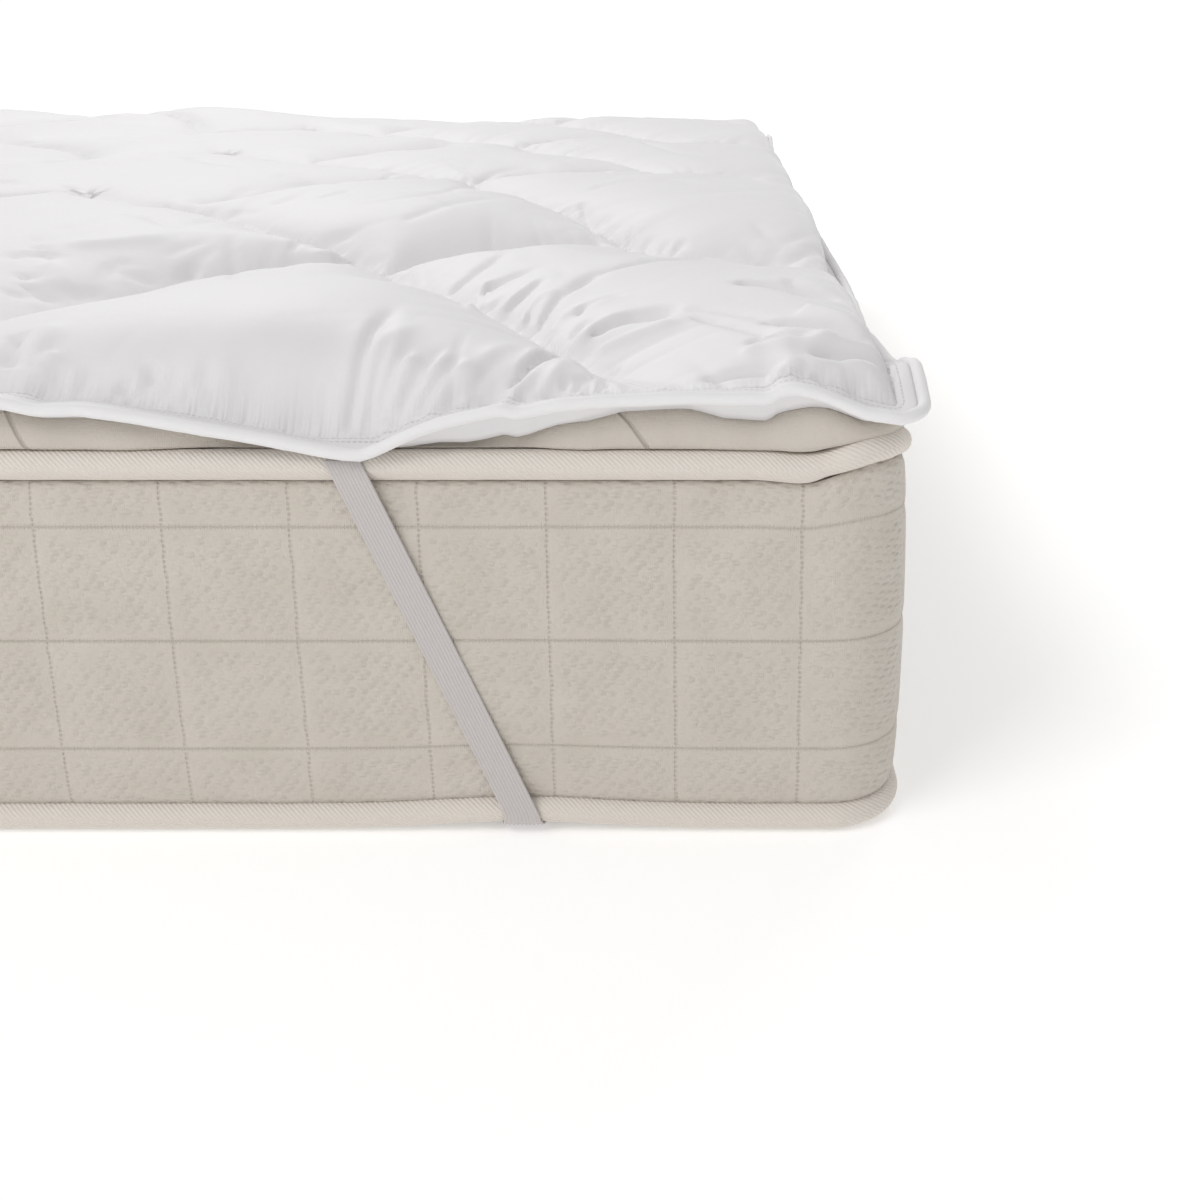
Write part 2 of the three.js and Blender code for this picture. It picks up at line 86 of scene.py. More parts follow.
QUILT_THIN = 9 * MM  # thickness left at a quilting seam
QUILT_PUFF = 46 * MM  # what the filling adds in a pad's middle
QUILT_REACH = 74 * MM  # how fast it swells beside a seam
FLAT_REACH = 42 * MM  # and towards the head, where pads lie flatter
QUILT_FULLER = 29 * MM  # how much less deep the seams lie towards the head
QUILT_ROW = 470 * MM
QUILT_ROWS = 5
SIDE_BULGE = 12 * MM  # how far the pads lean out over the flange

STRAP_WIDTH = 20 * MM
STRAP_THICK = 1.5 * MM
STRAP_TOP = 336 * MM  # from the corner to the strap's sewn end
STRAP_FOOT = 238 * MM  # and to where it turns under the mattress

# ---- tables


def rows(columns, lines):
    """A short table: one row with named columns for each line."""
    row = namedtuple("row", columns)
    return [row(*line) for line in lines]


def text_rows(columns, text):
    """The same for numbers as text: a row ends at a comma or with its line."""
    lines = [line.split() for line in text.replace(",", "\n").splitlines()
             if line and line[0] != "#"]
    return rows(columns, [[float(word) for word in line] for line in lines])


# Quilting seams of one row: "inside" from the side edge, the others from the foot end, mm.
QUILT_LINES = rows("inside rising falling", [
    (0, None, 425), (30, None, 415), (80, None, 460), (145, 0, 492), (222, 140, 512),
    (292, 250, 500), (361, 345, 466), (400, 430, 440), (486, 500, 422), (560, 560, 362),
    (609, 600, 278), (634, 622, 205), (652, 638, 110), (672, 655, 0), (800, 760, None),
])
FALLING_ENDS = 645 * MM  # where a falling seam meets the rising one of the row before

# Height of the topper's edge, mm, by the distance from a corner: on the ends and on the sides.
END_EDGE = text_rows("from_corner height", """
0 279, 8 277, 27 280, 44 287, 58 292, 72 295, 80 293, 86 288.5, 96 289, 142 288, 190 285
209 283.5, 226 280, 234 279, 241 281, 253 278, 268 275, 280 272, 292 267.5, 304 262, 314 257
324 253.2, 334 254, 350 257, 391 265, 419 270, 447 275, 470 279, 487 281.5, 512 281, 531 285.5
600 287, 700 284, 800 286
""")
LONG_EDGE = text_rows("from_corner height", """
0 284, 14 287, 30 293, 42 296.5, 52 298, 64 296.5, 80 292, 104 285, 135 274, 180 266, 240 262
290 258, 324 253, 358 257, 410 261, 500 264, 640 263, 800 262, 1000 263
""")

# How far the lower cloth bags out below the edge, mm, by the distance from a corner.
EDGE_BAGS = text_rows("from_corner depth", """
0 3, 50 4, 62 7, 72 11, 95 11.5, 112 10, 125 6, 133 4, 172 4, 180 6, 190 8, 200 11, 218 13
240 15, 265 14, 281 10, 300 6, 324 2.5, 360 3, 560 3, 640 8, 720 4, 800 6, 1000 4
""")

# Broad waves in the filled cloth, mm.
WAVES = text_rows("x y reach_x reach_y rise", """
-260 880 150 150 20
-620 800 190 260 20
500 850 160 130 6
205 860 150 160 -8
395 -800 120 110 8
150 -740 120 150 -10
700 -640 130 120 -6
330 -700 75 130 -9
250 -790 80 120 -4
200 -890 110 60 6
""")

# Creases and soft ridges, mm: x from the middle line and y from the foot end, and
# from there to the middle and the end of each. A crease has a negative rise.
FOLDS = text_rows("x y mid_x mid_y end_x end_y width rise", """
# the fan that the foot strap draws out of the big pad
463 22 5 15 13 110 4.8 -6
462 8 1 27 9 101 5 2.5
469 0 3 29 11 77 3.6 4.2
473 10 5 19 14 51 3.2 -2.4
475 3 8 32 17 93 3.6 5.1
477 11 10 19 21 44 3.2 -3
483 -9 9 33 22 54 3.6 6
485 17 16 8 35 39 4 -4.2
498 3 11 20 30 47 3.6 5.1
504 17 14 10 24 31 4.8 -6
512 0 9 23 28 40 3.6 5.1
525 18 14 6 26 32 4.8 -4.8
524 5 15 23 39 99 4.3 3.4
537 19 17 4 31 13 6.4 -3.6
556 -1 10 28 27 138 3.6 6
561 23 14 35 28 115 4 -10.8
573 19 12 11 29 92 3.6 4.2
618 21 0 57 5 62 3.2 -6
592 18 2 5 4 12 2.8 -3
600 15 2 6 3 24 2.8 -3.6
607 14 1 8 -2 81 2.8 -3.6
614 15 1 10 0 70 2.8 -3.6
630 13 2 12 3 45 2.8 -3
639 11 1 10 2 29 2.4 -2.4
# the big pad's left part
251 61 7 -21 9 -36 7.2 -6.3
268 36 2 13 1 42 4 3
274 37 5 5 8 15 3.6 -1.4
276 24 6 5 11 15 4.5 4
281 2 -7 16 -11 25 3.6 3
303 22 3 1 5 9 5.4 -3.1
331 18 -1 4 -1 6 3.6 -4.5
344 19 1 5 5 13 6.3 -5.4
340 16 2 6 5 11 3.6 3
352 16 0 7 4 11 3.6 3
365 14 3 8 13 12 4.5 3
368 16 5 6 18 9 4.5 -2.7
373 16 8 6 28 13 4.5 2.5
451 2 -2 19 -1 27 4.5 -1.4
457 -2 -3 22 -2 30 4.5 1.5
317 17 0 6 2 10 4.5 -2.2
293 17 -1 5 1 10 4.5 -2.2
# the deep fold behind the corner's lobe and the lobe's puckers
800 42 -30 -1 -68 -9 7 -14
716 12 36 7 79 5 9 6
731 5 4 9 7 19 4 -3
745 4 3 10 5 19 5 -3.5
762 4 6 10 11 20 5 -3.5
724 8 3 8 7 15 4 -2
722 94 28 -20 60 -44 6 -8
758 104 20 -22 39 -50 6 -9
740 108 22 -22 48 -54 6 6
712 66 26 -6 48 -16 6 5
703 62 21 0 53 -8 6 -7
700 48 18 0 38 -2 5 4
713 98 25 -14 55 -40 5 -5
# arcs that sweep over the corner pad
475 312 18 35 41 89 5.8 -5
515 165 -12 122 -2 132 4 4.5
505 281 11 25 49 48 4.3 -4
516 255 3 5 9 14 2.9 -3
525 233 13 26 41 71 4 4.5
531 236 11 19 28 61 4.3 -5
546 204 5 20 26 52 4 4.5
550 205 3 21 11 32 3.2 -4
558 192 7 27 26 66 4 4.5
560 194 14 44 47 113 5.8 -7
597 284 37 39 95 127 5 -4
568 166 17 29 63 33 4.8 4.5
588 184 11 18 37 21 4.3 -4
592 133 11 15 41 32 4.8 4.5
587 145 4 14 14 24 3.6 -4
601 139 25 14 64 8 7 -13
604 118 30 2 65 9 4 5.2
667 133 30 -35 60 -76 4.3 -3.5
661 149 36 -26 76 -73 4.3 -2
699 199 38 -22 70 -67 9 -12
734 201 18 -31 35 -56 6 -4
809 528 1 -94 0 -162 3.6 -5
674 23 27 2 55 0 5 -4
# the crumpled pads behind them
110 393 11 62 28 121 4.3 -3.5
138 514 35 -21 81 -60 4.3 -3.5
109 394 20 -20 35 -31 3.7 -4.2
140 396 43 22 82 48 7.2 3.6
106 343 10 22 32 23 4.3 -3.5
129 322 7 1 14 -1 5 -4.9
128 293 10 -1 22 -2 4.3 -3
141 310 15 -10 29 -7 5 -4
174 304 8 15 17 32 4.3 -2.5
191 337 -4 19 -4 44 3.7 -3.5
185 383 7 -5 15 -13 3.7 -2.8
195 364 18 -2 35 2 4.3 -4
234 375 7 11 11 24 5 -7
242 383 4 24 9 53 5 -2.5
219 400 12 21 27 43 4.3 -2.1
331 230 -60 185 -64 211 5 -2.5
321 323 6 53 5 122 4.3 -2.8
313 440 14 56 55 57 5 -3.5
324 442 17 10 33 45 4.8 2.7
351 389 5 63 20 81 4.3 -3.5
-16 1090 71 -78 164 -169 5.6 -4.9
-108 797 19 -20 37 -37 5.6 -6.3
-76 767 22 34 51 77 5 -1
29 569 -58 183 -61 249 5 -2.1
58 547 -14 67 -67 233 5 -2.1
186 631 -15 122 -1 166 5 -2.1
211 605 0 40 10 61 5.6 2.7
209 605 16 -4 35 -4 4.3 -2.1
243 625 15 22 20 75 5 -2.8
181 861 41 4 125 -152 5.6 -2.8
196 817 19 22 38 47 4.3 -2.1
289 635 11 32 22 75 4.3 -2.8
214 466 1 38 9 73 5 -2.1
137 352 18 -17 30 -41 7.2 4.5
375 458 12 -1 25 -3 3.7 -2.8
439 403 6 -31 13 -62 3.1 -1.4
409 451 14 -37 62 -233 3.1 -1.4
# the pads towards the head
408 702 5 233 61 291 6.8 -2.8
420 1223 16 120 99 271 7.6 -2.1
585 1350 76 -232 172 -249 7.6 -2.1
764 1206 12 -66 15 -135 6.8 -4.9
722 810 39 -66 59 -159 7.6 -4.2
553 747 66 41 145 -22 7.6 -2.1
549 682 13 -38 44 -268 7.6 -3.5
571 635 7 -1 17 -7 6 -2.8
611 429 -4 140 -2 147 5.1 -2.1
620 546 4 6 7 16 5.1 -2.8
637 526 4 6 10 13 5.1 -2.8
650 515 6 8 13 13 6 -4.2
713 494 51 -26 97 82 8.5 -4
724 546 38 -43 85 106 7.6 -2.1
395 529 35 62 86 202 8.5 -2.1
342 590 49 55 78 189 8.5 -2.1
""")

# The mattress's shoulder behind its top roll, free and pressed down by the topper's edge: inset
# and height, mm, and the share of its lift that each stop takes.
SHOULDER = text_rows("inset height pressed_inset pressed_height lift", """
6 254 6 254 0
2 254 8 254.6 0
-0.4 254.2 11 255.2 0.1
-1.2 256.5 14.4 257 0.3
-1.1 261 17 258.2 0.6
0.8 266.4 20 259.5 0.85
4.8 271.2 26 262 1
11 274 34 265 1
20 275 45 268 1
40 274.4 60 270.5 0.73
80 273.4 100 272 0.2
150 272.2 150 272.2 0
""")
TOP_PANEL = SHOULDER[5:]  # from here on each stop lies farther in than the one before
SHOULDER_HEIGHT = 275 * MM

# The share of the shoulder's lift that the top panel keeps, by its inset, mm.
PANEL_LIFT = rows("inset share", [(0, 1), (20, 1), (80, 0.2), (150, 0)])

# Creases that start at a line of stitches, mm. The broad ones are soft waves.
GATHERS = rows("spacing reach depth sharp", [
    (11, 13, 1.6, True),
    (24, 34, 3.6, True),
    (60, 80, 3.5, False),
])

# Grooves that run round the topper's edge, by the distance from its rim, mm.
GROOVES = rows("place width depth", [(12.5, 1.6, 1.0), (0, 2.2, 1.3)])

# Two slanted tucks on the shoulder of the foot end: run before the corner and height, mm.
TUCKS = rows("run height end_run end_height", [(100, 262, 120.3, 284), (470, 262, 482, 281)])

# ---- small tools

STEP = 5 * MM  # between the points of a seam
FOLD_POINTS = 17
RUN_LEVELS, SURFACE_LEVELS = 4096, 128  # random levels before a ripple repeats
TINY = 1e-6


def read(table, key, name, at):
    """Reads a table's column between its rows, in mm."""
    return np.interp(at, *([getattr(row, column) * MM for row in table] for column in (key, name)))


def smooth_run(stops):
    """Points at an even spacing on a smooth curve through a few stops."""
    stops = np.array(stops)
    ends = np.vstack([2 * stops[0] - stops[1], stops, 2 * stops[-1] - stops[-2]])
    pieces = []
    for before, here, there, after in zip(ends, ends[1:], ends[2:], ends[3:]):
        count = max(2, int(np.ceil(np.linalg.norm(there - here) / STEP)))
        t = (np.arange(count) / count)[:, None]
        pieces.append(0.5 * (2 * here + (there - before) * t
                             + (2 * before - 5 * here + 4 * there - after) * t ** 2
                             + (3 * here - before - 3 * there + after) * t ** 3))
    return np.vstack([*pieces, stops[-1:]])


def bent_line(start, middle, end):
    """Points on a curve from a start, with the ways from there to its middle and its end."""
    start, middle, end = np.array([start, middle, end])
    t = np.linspace(0, 1, FOLD_POINTS)[:, None]
    return start + t * (1 - t) * (4 * middle - end) + t ** 2 * end


def smoothstep(t):
    t = np.clip(t, 0, 1)
    return t * t * (3 - 2 * t)


def bell(t):
    """1 at 0, dying away on both sides of it."""
    return np.exp(-(t ** 2))


def swelling(t):
    """0 at 0, rising fast at first and then ever slower towards 1."""
    return 1 - np.exp(-t)


def ripple(place, seed):
    """Even random rises and falls, one for each unit of place, from -1 to 1."""
    levels = np.random.RandomState(seed).uniform(-1, 1, RUN_LEVELS)
    cell = np.floor(place).astype(int)
    blend = smoothstep(place - cell)
    return levels[cell % RUN_LEVELS] * (1 - blend) + levels[(cell + 1) % RUN_LEVELS] * blend


def ripple2(u, v, seed):
    """The same over a surface: one level for each unit square."""
    levels = np.random.RandomState(seed).uniform(-1, 1, (SURFACE_LEVELS, SURFACE_LEVELS))
    cu, cv = np.floor(u).astype(int), np.floor(v).astype(int)
    bu, bv = smoothstep(u - cu), smoothstep(v - cv)

    def line(j):
        left, right = (levels[(cu + i) % SURFACE_LEVELS, (cv + j) % SURFACE_LEVELS]
                       for i in (0, 1))
        return left * (1 - bu) + right * bu

    return line(0) * (1 - bv) + line(1) * bv


def uneven(run, every, by, seed):
    """Small changes along a run, in mm."""
    return ripple(run / (every * MM), seed) * by * MM


def to_scene(name, data):
    thing = bpy.data.objects.new(name, data)
    bpy.context.scene.collection.objects.link(thing)
    return thing


def new_mesh(name, bm):
    mesh = bpy.data.meshes.new(name)
    bm.to_mesh(mesh)
    bm.free()
    return to_scene(name, mesh)


def new_piece(name, bm):
    """Turns a bmesh into a smooth piece that rides on the part."""
    bmesh.ops.recalc_face_normals(bm, faces=bm.faces)
    piece = new_mesh(name, bm)
    piece.data.polygons.foreach_set("use_smooth", [True] * len(piece.data.polygons))
    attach(piece, "root")
    return piece


def skin(bm, points, ring_closed, side_closed, layer=None, run=(), level=()):
    """Faces over rings of points, each joined to the next, with run and level as uv."""
    rings = [[bm.verts.new(spot) for spot in ring] for ring in points]
    count, sides = len(rings), len(rings[0])
    for i in range(count if ring_closed else count - 1):
        for j in range(sides if side_closed else sides - 1):
            corners = ((i, j), (i, j + 1), (i + 1, j + 1), (i + 1, j))
            face = bm.faces.new([rings[a % count][b % sides] for a, b in corners])
            if layer:
                for loop, (a, b) in zip(face.loops, corners):
                    loop[layer].uv = (run[a], level[b])
    return rings


def close_border(bm, edges):
    bmesh.ops.contextual_create(bm, geom=[edge for edge in edges if edge.is_boundary])

# ---- round the edges

CORNERS = np.array([(1, -1), (1, 1), (-1, 1), (-1, -1)])  # against the clock
QUARTER = math.pi / 2
FEWEST_TURNS = 4  # of the points round a corner
LEAST_RADIUS = 3 * MM  # of an outline's corner


def rim_distance(x, y):
    """How far plan points lie inside the topper's rounded outline."""
    over = np.abs(np.column_stack([x, y])) - (HALF + OVERHANG - TOPPER_CORNER)
    outside = np.linalg.norm(np.maximum(over, 0), axis=1)
    return TOPPER_CORNER - outside - np.minimum(over.max(1), 0)


def corner_distance(x, y):
    """How far places on the outline lie from the nearest corner."""
    return np.maximum(HALF_X - np.abs(x), HALF_Y - np.abs(y))


def inset_spots(spots, inset, corner):
    """Moves points of a rounded outline inwards, each to the outline at another inset."""
    near = np.clip(spots, corner - HALF, HALF - corner)
    out = spots - near
    length = np.linalg.norm(out, axis=1)[:, None]
    out = np.where(length < TINY, spots, out)
    out = out / np.linalg.norm(out, axis=1)[:, None]
    inset = np.reshape(inset, (-1, 1))
    radius = np.maximum(corner - inset, LEAST_RADIUS)
    return near / (HALF - corner) * (HALF - inset - radius) + out * radius


def outline_run(corner, inset, spacing):
    """Points, outward directions and run along a rounded outline, back to its start."""
    radius = corner - inset
    centres = CORNERS * (HALF - inset - radius)
    spots, outs = [], []
    for i, centre in enumerate(centres):
        count = max(FEWEST_TURNS, int(radius * QUARTER / spacing))
        angle = (i - 1) * QUARTER + np.arange(count) / count * QUARTER
        out = np.column_stack([np.cos(angle), np.sin(angle)])
        spots.append(centre + radius * out)
        outs.append(out)
        way = centres[(i + 1) % 4] - centre
        count = int(np.linalg.norm(way) / spacing)
        out = np.array([[math.cos(i * QUARTER), math.sin(i * QUARTER)]] * count)
        spots.append(centre + way * (np.arange(count) / count)[:, None] + radius * out)
        outs.append(out)
    spots, outs = np.vstack(spots), np.vstack(outs)
    steps = np.linalg.norm(np.roll(spots, -1, 0) - spots, axis=1)
    return spots, outs, np.concatenate([[0], np.cumsum(steps)])

# ---- how the cloth lies

PRESS_REACH = 20 * MM  # from first touch until pressed down
CLOTH_ROOM = 1 * MM
LIFT_ROOM = 1.2 * MM  # under cloth that a swelling shoulder meets
MOST_LIFT = 9 * MM
UNDER_GAP = 0.8 * MM
LYING_FROM = 4 * MM  # inset from which the cloth lies on the panel
BAG_END = 2 * MM  # and up to which it may bag down past it
SETTLE_FROM, SETTLE_REACH = 0.5 * MM, 4.5 * MM


def edge_height(x, y):
    """Height of the topper's edge at the part of the rim nearest to plan points."""
    from_end = np.maximum(HALF_Y - np.abs(y), 0)
    from_side = np.maximum(HALF_X - np.abs(x), 0)
    height = np.full(np.shape(x), EDGE_HEIGHT)
    for table, place, across in ((END_EDGE, from_side, from_end),
                                 (LONG_EDGE, from_end, from_side)):
        level = read(table, "from_corner", "height", place)
        level = np.where(y > 0, np.minimum(level, EDGE_HEIGHT + REAR_RISE), level)
        height = height + (level - EDGE_HEIGHT) * bell(across / EDGE_FADE)
    return height


def bag_depth(x, y):
    """How far the topper's lower cloth bags out below its edge."""
    return read(EDGE_BAGS, "from_corner", "depth", corner_distance(x, y))


def over_shoulder(x, y):
    """How high the topper's lower cloth stands over the mattress's free shoulder."""
    return edge_height(x, y) - bag_depth(x, y) - SHOULDER_HEIGHT


def squeeze(x, y):
    """How far the topper's edge presses the mattress's shoulder down, from 0 to 1."""
    return smoothstep((CLOTH_ROOM - over_shoulder(x, y)) / PRESS_REACH)


def shoulder_lift(x, y):
    """How much higher the mattress's shoulder stands, up to the topper's lower cloth."""
    return np.clip(over_shoulder(x, y) - LIFT_ROOM, 0, MOST_LIFT)


def panel_height(inset, x, y):
    """Height of the mattress's top panel at an inset behind its shoulder."""
    free = read(TOP_PANEL, "inset", "height", inset)
    free = free + shoulder_lift(x, y) * read(PANEL_LIFT, "inset", "share", inset) / MM
    pressed = read(SHOULDER, "pressed_inset", "pressed_height", inset)
    return free + (pressed - free) * squeeze(x, y)


def underside_height(inset, x, y):
    """Height of the topper's lower cloth at an inset."""
    edge = edge_height(x, y)
    bag = edge - bag_depth(x, y)
    lying = panel_height(np.maximum(inset, LYING_FROM), x, y) + UNDER_GAP
    bag = np.where(inset < BAG_END, bag, np.minimum(bag, lying))
    outer = edge - FLANGE / 2
    near = outer + (bag - outer) * np.clip((inset + OVERHANG) / OVERHANG, 0, 1)
    return near + (lying - near) * smoothstep((inset - SETTLE_FROM) / SETTLE_REACH)

# ---- seams and folds

SEAM_PAST_HEAD = 50 * MM
SEAM_SHIFT = 3.7  # added to the next seam's run, so that none repeats another
LEAN_RUN, LEAN = 110 * MM, 0.7  # how the gathers along a seam change their lean
REACH_RUN, REACH_CHANGE = 33 * MM, 0.55  # and their reach
SHARPNESS = 3

FOLD_SPAN = 4  # widths of a fold that it reaches to each side
FOLD_START, FOLD_FAN = 0.45, 0.75  # shares of its width: at first, then gained
FOLD_RISE, FOLD_END = 0.12, 0.3  # and of its length, to start and to end
FOLD_AT_START = 0.25
CREASE_POWER = 1.5


class Seams:
    """Quilting seams of one kind, as close points with their run and their direction."""

    def __init__(self, kind):
        stops = [(stop.inside * MM, getattr(stop, kind) * MM) for stop in QUILT_LINES
                 if getattr(stop, kind) is not None]
        later = [stop for stop in stops if kind == "rising" or stop[0] <= FALLING_ENDS]
        spots, runs, ways = [], [], []
        for row in range(QUILT_ROWS):
            for side in (1, -1):
                line = smooth_run([(side * (HALF_X - inside), deep + row * QUILT_ROW - HALF_Y)
                                   for inside, deep in (later if row else stops)])
                line = line[line[:, 1] < HALF_Y + SEAM_PAST_HEAD]
                if len(line) > 2:
                    way = np.gradient(line, axis=0)
                    spots.append(line)
                    ways.append(way / np.linalg.norm(way, axis=1)[:, None])
                    runs.append(np.arange(len(line)) * STEP + SEAM_SHIFT * len(runs))
        self.spots, self.ways = np.vstack(spots), np.vstack(ways)
        self.runs = np.concatenate(runs)
        self.tree = kdtree.KDTree(len(self.spots))
        for i, (x, y) in enumerate(self.spots):
            self.tree.insert((x, y, 0), i)
        self.tree.balance()

    def nearest(self, x, y):
        """Signed distance to the nearest seam, the run along it, and its direction."""
        found = np.array([self.tree.find((a, b, 0))[1] for a, b in zip(x, y)])
        off = np.column_stack([x, y]) - self.spots[found]
        way = self.ways[found]
        along = (off * way).sum(1)
        across = off[:, 0] * way[:, 1] - off[:, 1] * way[:, 0]
        past = np.maximum(np.abs(along) - STEP, 0)
        return np.sign(across) * np.hypot(across, past), self.runs[found] + along, way


def crease(level):
    """Turns an even ripple into narrow valleys between rounded rises: 0 down to -1."""
    return -(1 - np.abs(level)) ** SHARPNESS


def gathers(away, run, seed, started):
    """Short creases that start at a line of stitches and die away into the filling."""
    place = run + ripple(run / LEAN_RUN, seed) * LEAN * away
    change = 1 + REACH_CHANGE * ripple(run / REACH_RUN, seed + 1)
    height = 0
    for i, gather in enumerate(GATHERS):
        level = ripple(place / (gather.spacing * MM), seed + 2 + i)
        reach = gather.reach * MM
        if gather.sharp:
            level, reach = crease(level), reach * change
        height = height + level * np.exp(-away / reach) * gather.depth * MM
    return height * started


def fold_height(x, y, fold):
    """What one listed fold adds at plan points: it starts narrow and fans out."""
    line = bent_line(fold[:2], fold[2:4], fold[4:6]) * MM
    line[:, 1] -= HALF_Y
    width = fold.width * MM
    low, high = line.min(0) - FOLD_SPAN * width, line.max(0) + FOLD_SPAN * width
    near = np.flatnonzero((x > low[0]) & (x < high[0]) & (y > low[1]) & (y < high[1]))
    spots = np.column_stack([x[near], y[near]])
    best = np.full(len(near), np.inf)
    where = np.zeros(len(near))
    for i, (a, b) in enumerate(zip(line, line[1:])):
        run = b - a
        t = np.clip(((spots - a) @ run) / (run @ run), 0, 1)
        distance = np.linalg.norm(spots - a - t[:, None] * run, axis=1)
        closer = distance < best
        best[closer] = distance[closer]
        where[closer] = (i + t[closer]) / (len(line) - 1)
    off = best / (width * (FOLD_START + FOLD_FAN * where))
    fade = smoothstep(where / FOLD_RISE + FOLD_AT_START) * smoothstep((1 - where) / FOLD_END)
    shape = np.exp(-off) * (1 + off) if fold.rise > 0 else np.exp(-(off ** CREASE_POWER))
    added = np.zeros(len(x))
    added[near] = fold.rise * MM * fade * shape
    return added

# ---- the topper's pad

RIM_LINES = np.array([0, 3, 6, 8.5, 11, 14, 17, 20]) * MM
UNDER_LINES = np.array([0.2, 3, 6, 11, 20, 34, 60, 100, 150]) * MM

# Spacing of the pad's grid, mm: finest where its smallest folds are.
COLUMN_STEPS = text_rows("place step", """
-800 13, 0 11, 250 5, 430 2.8, 600 2.7, 680 3.2, 800 3
""")
LINE_STEPS = rows("place step", [(-1000, 2.8), (-850, 3.3), (-600, 5.2), (0, 9), (1000, 13)])
ON_SEAM = 0.5  # of a grid step: points this close to a seam are set on it
SEAMS_FROM_RIM = 24 * MM
RUN_START = 1  # in metres, so that no run along the rim is negative

SEAM_BLEND = 5  # how sharply the nearer of two seams wins
STITCH_DEPTH, STITCH_REACH = 4 * MM, 5 * MM  # the sharp valley of a seam's stitches
STITCH_HOLD = 2.5 * MM
FLAT_FROM, FLAT_BLEND = 0.28, 0.3  # from the foot end: the pads lie flatter
FLAT_LATER, RIGHT_FROM, RIGHT_BLEND = 0.17, 0.3, 0.25  # and later on the right
SHALLOW_TO, SHALLOW_BLEND = 0.5, 0.4  # left of here with shallow seams
SHALLOW_FROM, SHALLOW_REACH = 0.5, 0.2  # and this far from the foot end, all
LUMP_SIZE, LUMP_RISE = 0.13, 2.5 * MM
GATHER_START = 26 * MM  # from the flange to whole gathers
OTHER_SIDE = 977  # added to the run on one side of a seam, for other gathers there
RIM_GATHERS, RIM_EARLY, RIM_START = 0.9, 2 * MM, 5 * MM
FOLDS_FROM, FOLDS_BLEND = 6 * MM, 12 * MM
THINNEST, THIN_REACH, THIN_AT_RIM = 3.4 * MM, 8 * MM, 0.45
BULGE_END, BULGE_START, BULGE_REACH = 0.35, 3 * MM, 38 * MM
BULGE_LOST, BULGE_SEAM = 0.6, 40 * MM  # what a seam takes of the bulge


def graded_lines(half, steps):
    inner = half - RIM_LINES[-1]
    lines = [-inner]
    while lines[-1] < inner:
        lines.append(lines[-1] + read(steps, "place", "step", lines[-1]))
    lines = (np.array(lines) + inner) * 2 * inner / (lines[-1] + inner) - inner
    rim = half - RIM_LINES[:-1]
    return np.concatenate([-rim, lines, rim[::-1]])


def rounded_corner(spots):
    """Draws the square corners of a grid in to the topper's round ones."""
    inner = HALF + OVERHANG - TOPPER_CORNER
    t = (np.abs(spots) - inner) / TOPPER_CORNER
    drawn = inner + TOPPER_CORNER * t * np.sqrt(np.maximum(1 - t[:, ::-1] ** 2 / 2, 0))
    return np.where((t > 0).all(1)[:, None], np.sign(spots) * drawn, spots)


def rim_run(x, y):
    """The run along the rim at plan points, mirrored at the corners so that it never jumps."""
    on_end = HALF_Y - np.abs(y) < HALF_X - np.abs(x)
    return np.where(on_end, np.abs(x), np.abs(y) - HALF_Y + HALF_X) + RUN_START


def quilt_height(x, y, away):
    """Height of the quilted pads, by the distance away from the nearest seam."""
    from_foot = y + HALF_Y
    flat_from = FLAT_FROM + FLAT_LATER * smoothstep((x - RIGHT_FROM) / RIGHT_BLEND)
    flatter = smoothstep((from_foot - flat_from) / FLAT_BLEND)
    swell = swelling(away / (QUILT_REACH + (FLAT_REACH - QUILT_REACH) * flatter))
    share = np.maximum(smoothstep((SHALLOW_TO - x) / SHALLOW_BLEND),
                       smoothstep((from_foot - SHALLOW_FROM) / SHALLOW_REACH))
    fuller = QUILT_FULLER * flatter * (1 + share) / 2
    height = REST_HEIGHT + QUILT_THIN - STITCH_DEPTH + fuller + (QUILT_PUFF - fuller) * swell
    height += STITCH_DEPTH * swelling(away / STITCH_REACH)
    for wave in WAVES:
        height += wave.rise * MM * (bell((x / MM - wave.x) / wave.reach_x)
                                    * bell((y / MM - wave.y) / wave.reach_y))
    return height + ripple2(x / LUMP_SIZE, y / LUMP_SIZE, 31) * LUMP_RISE


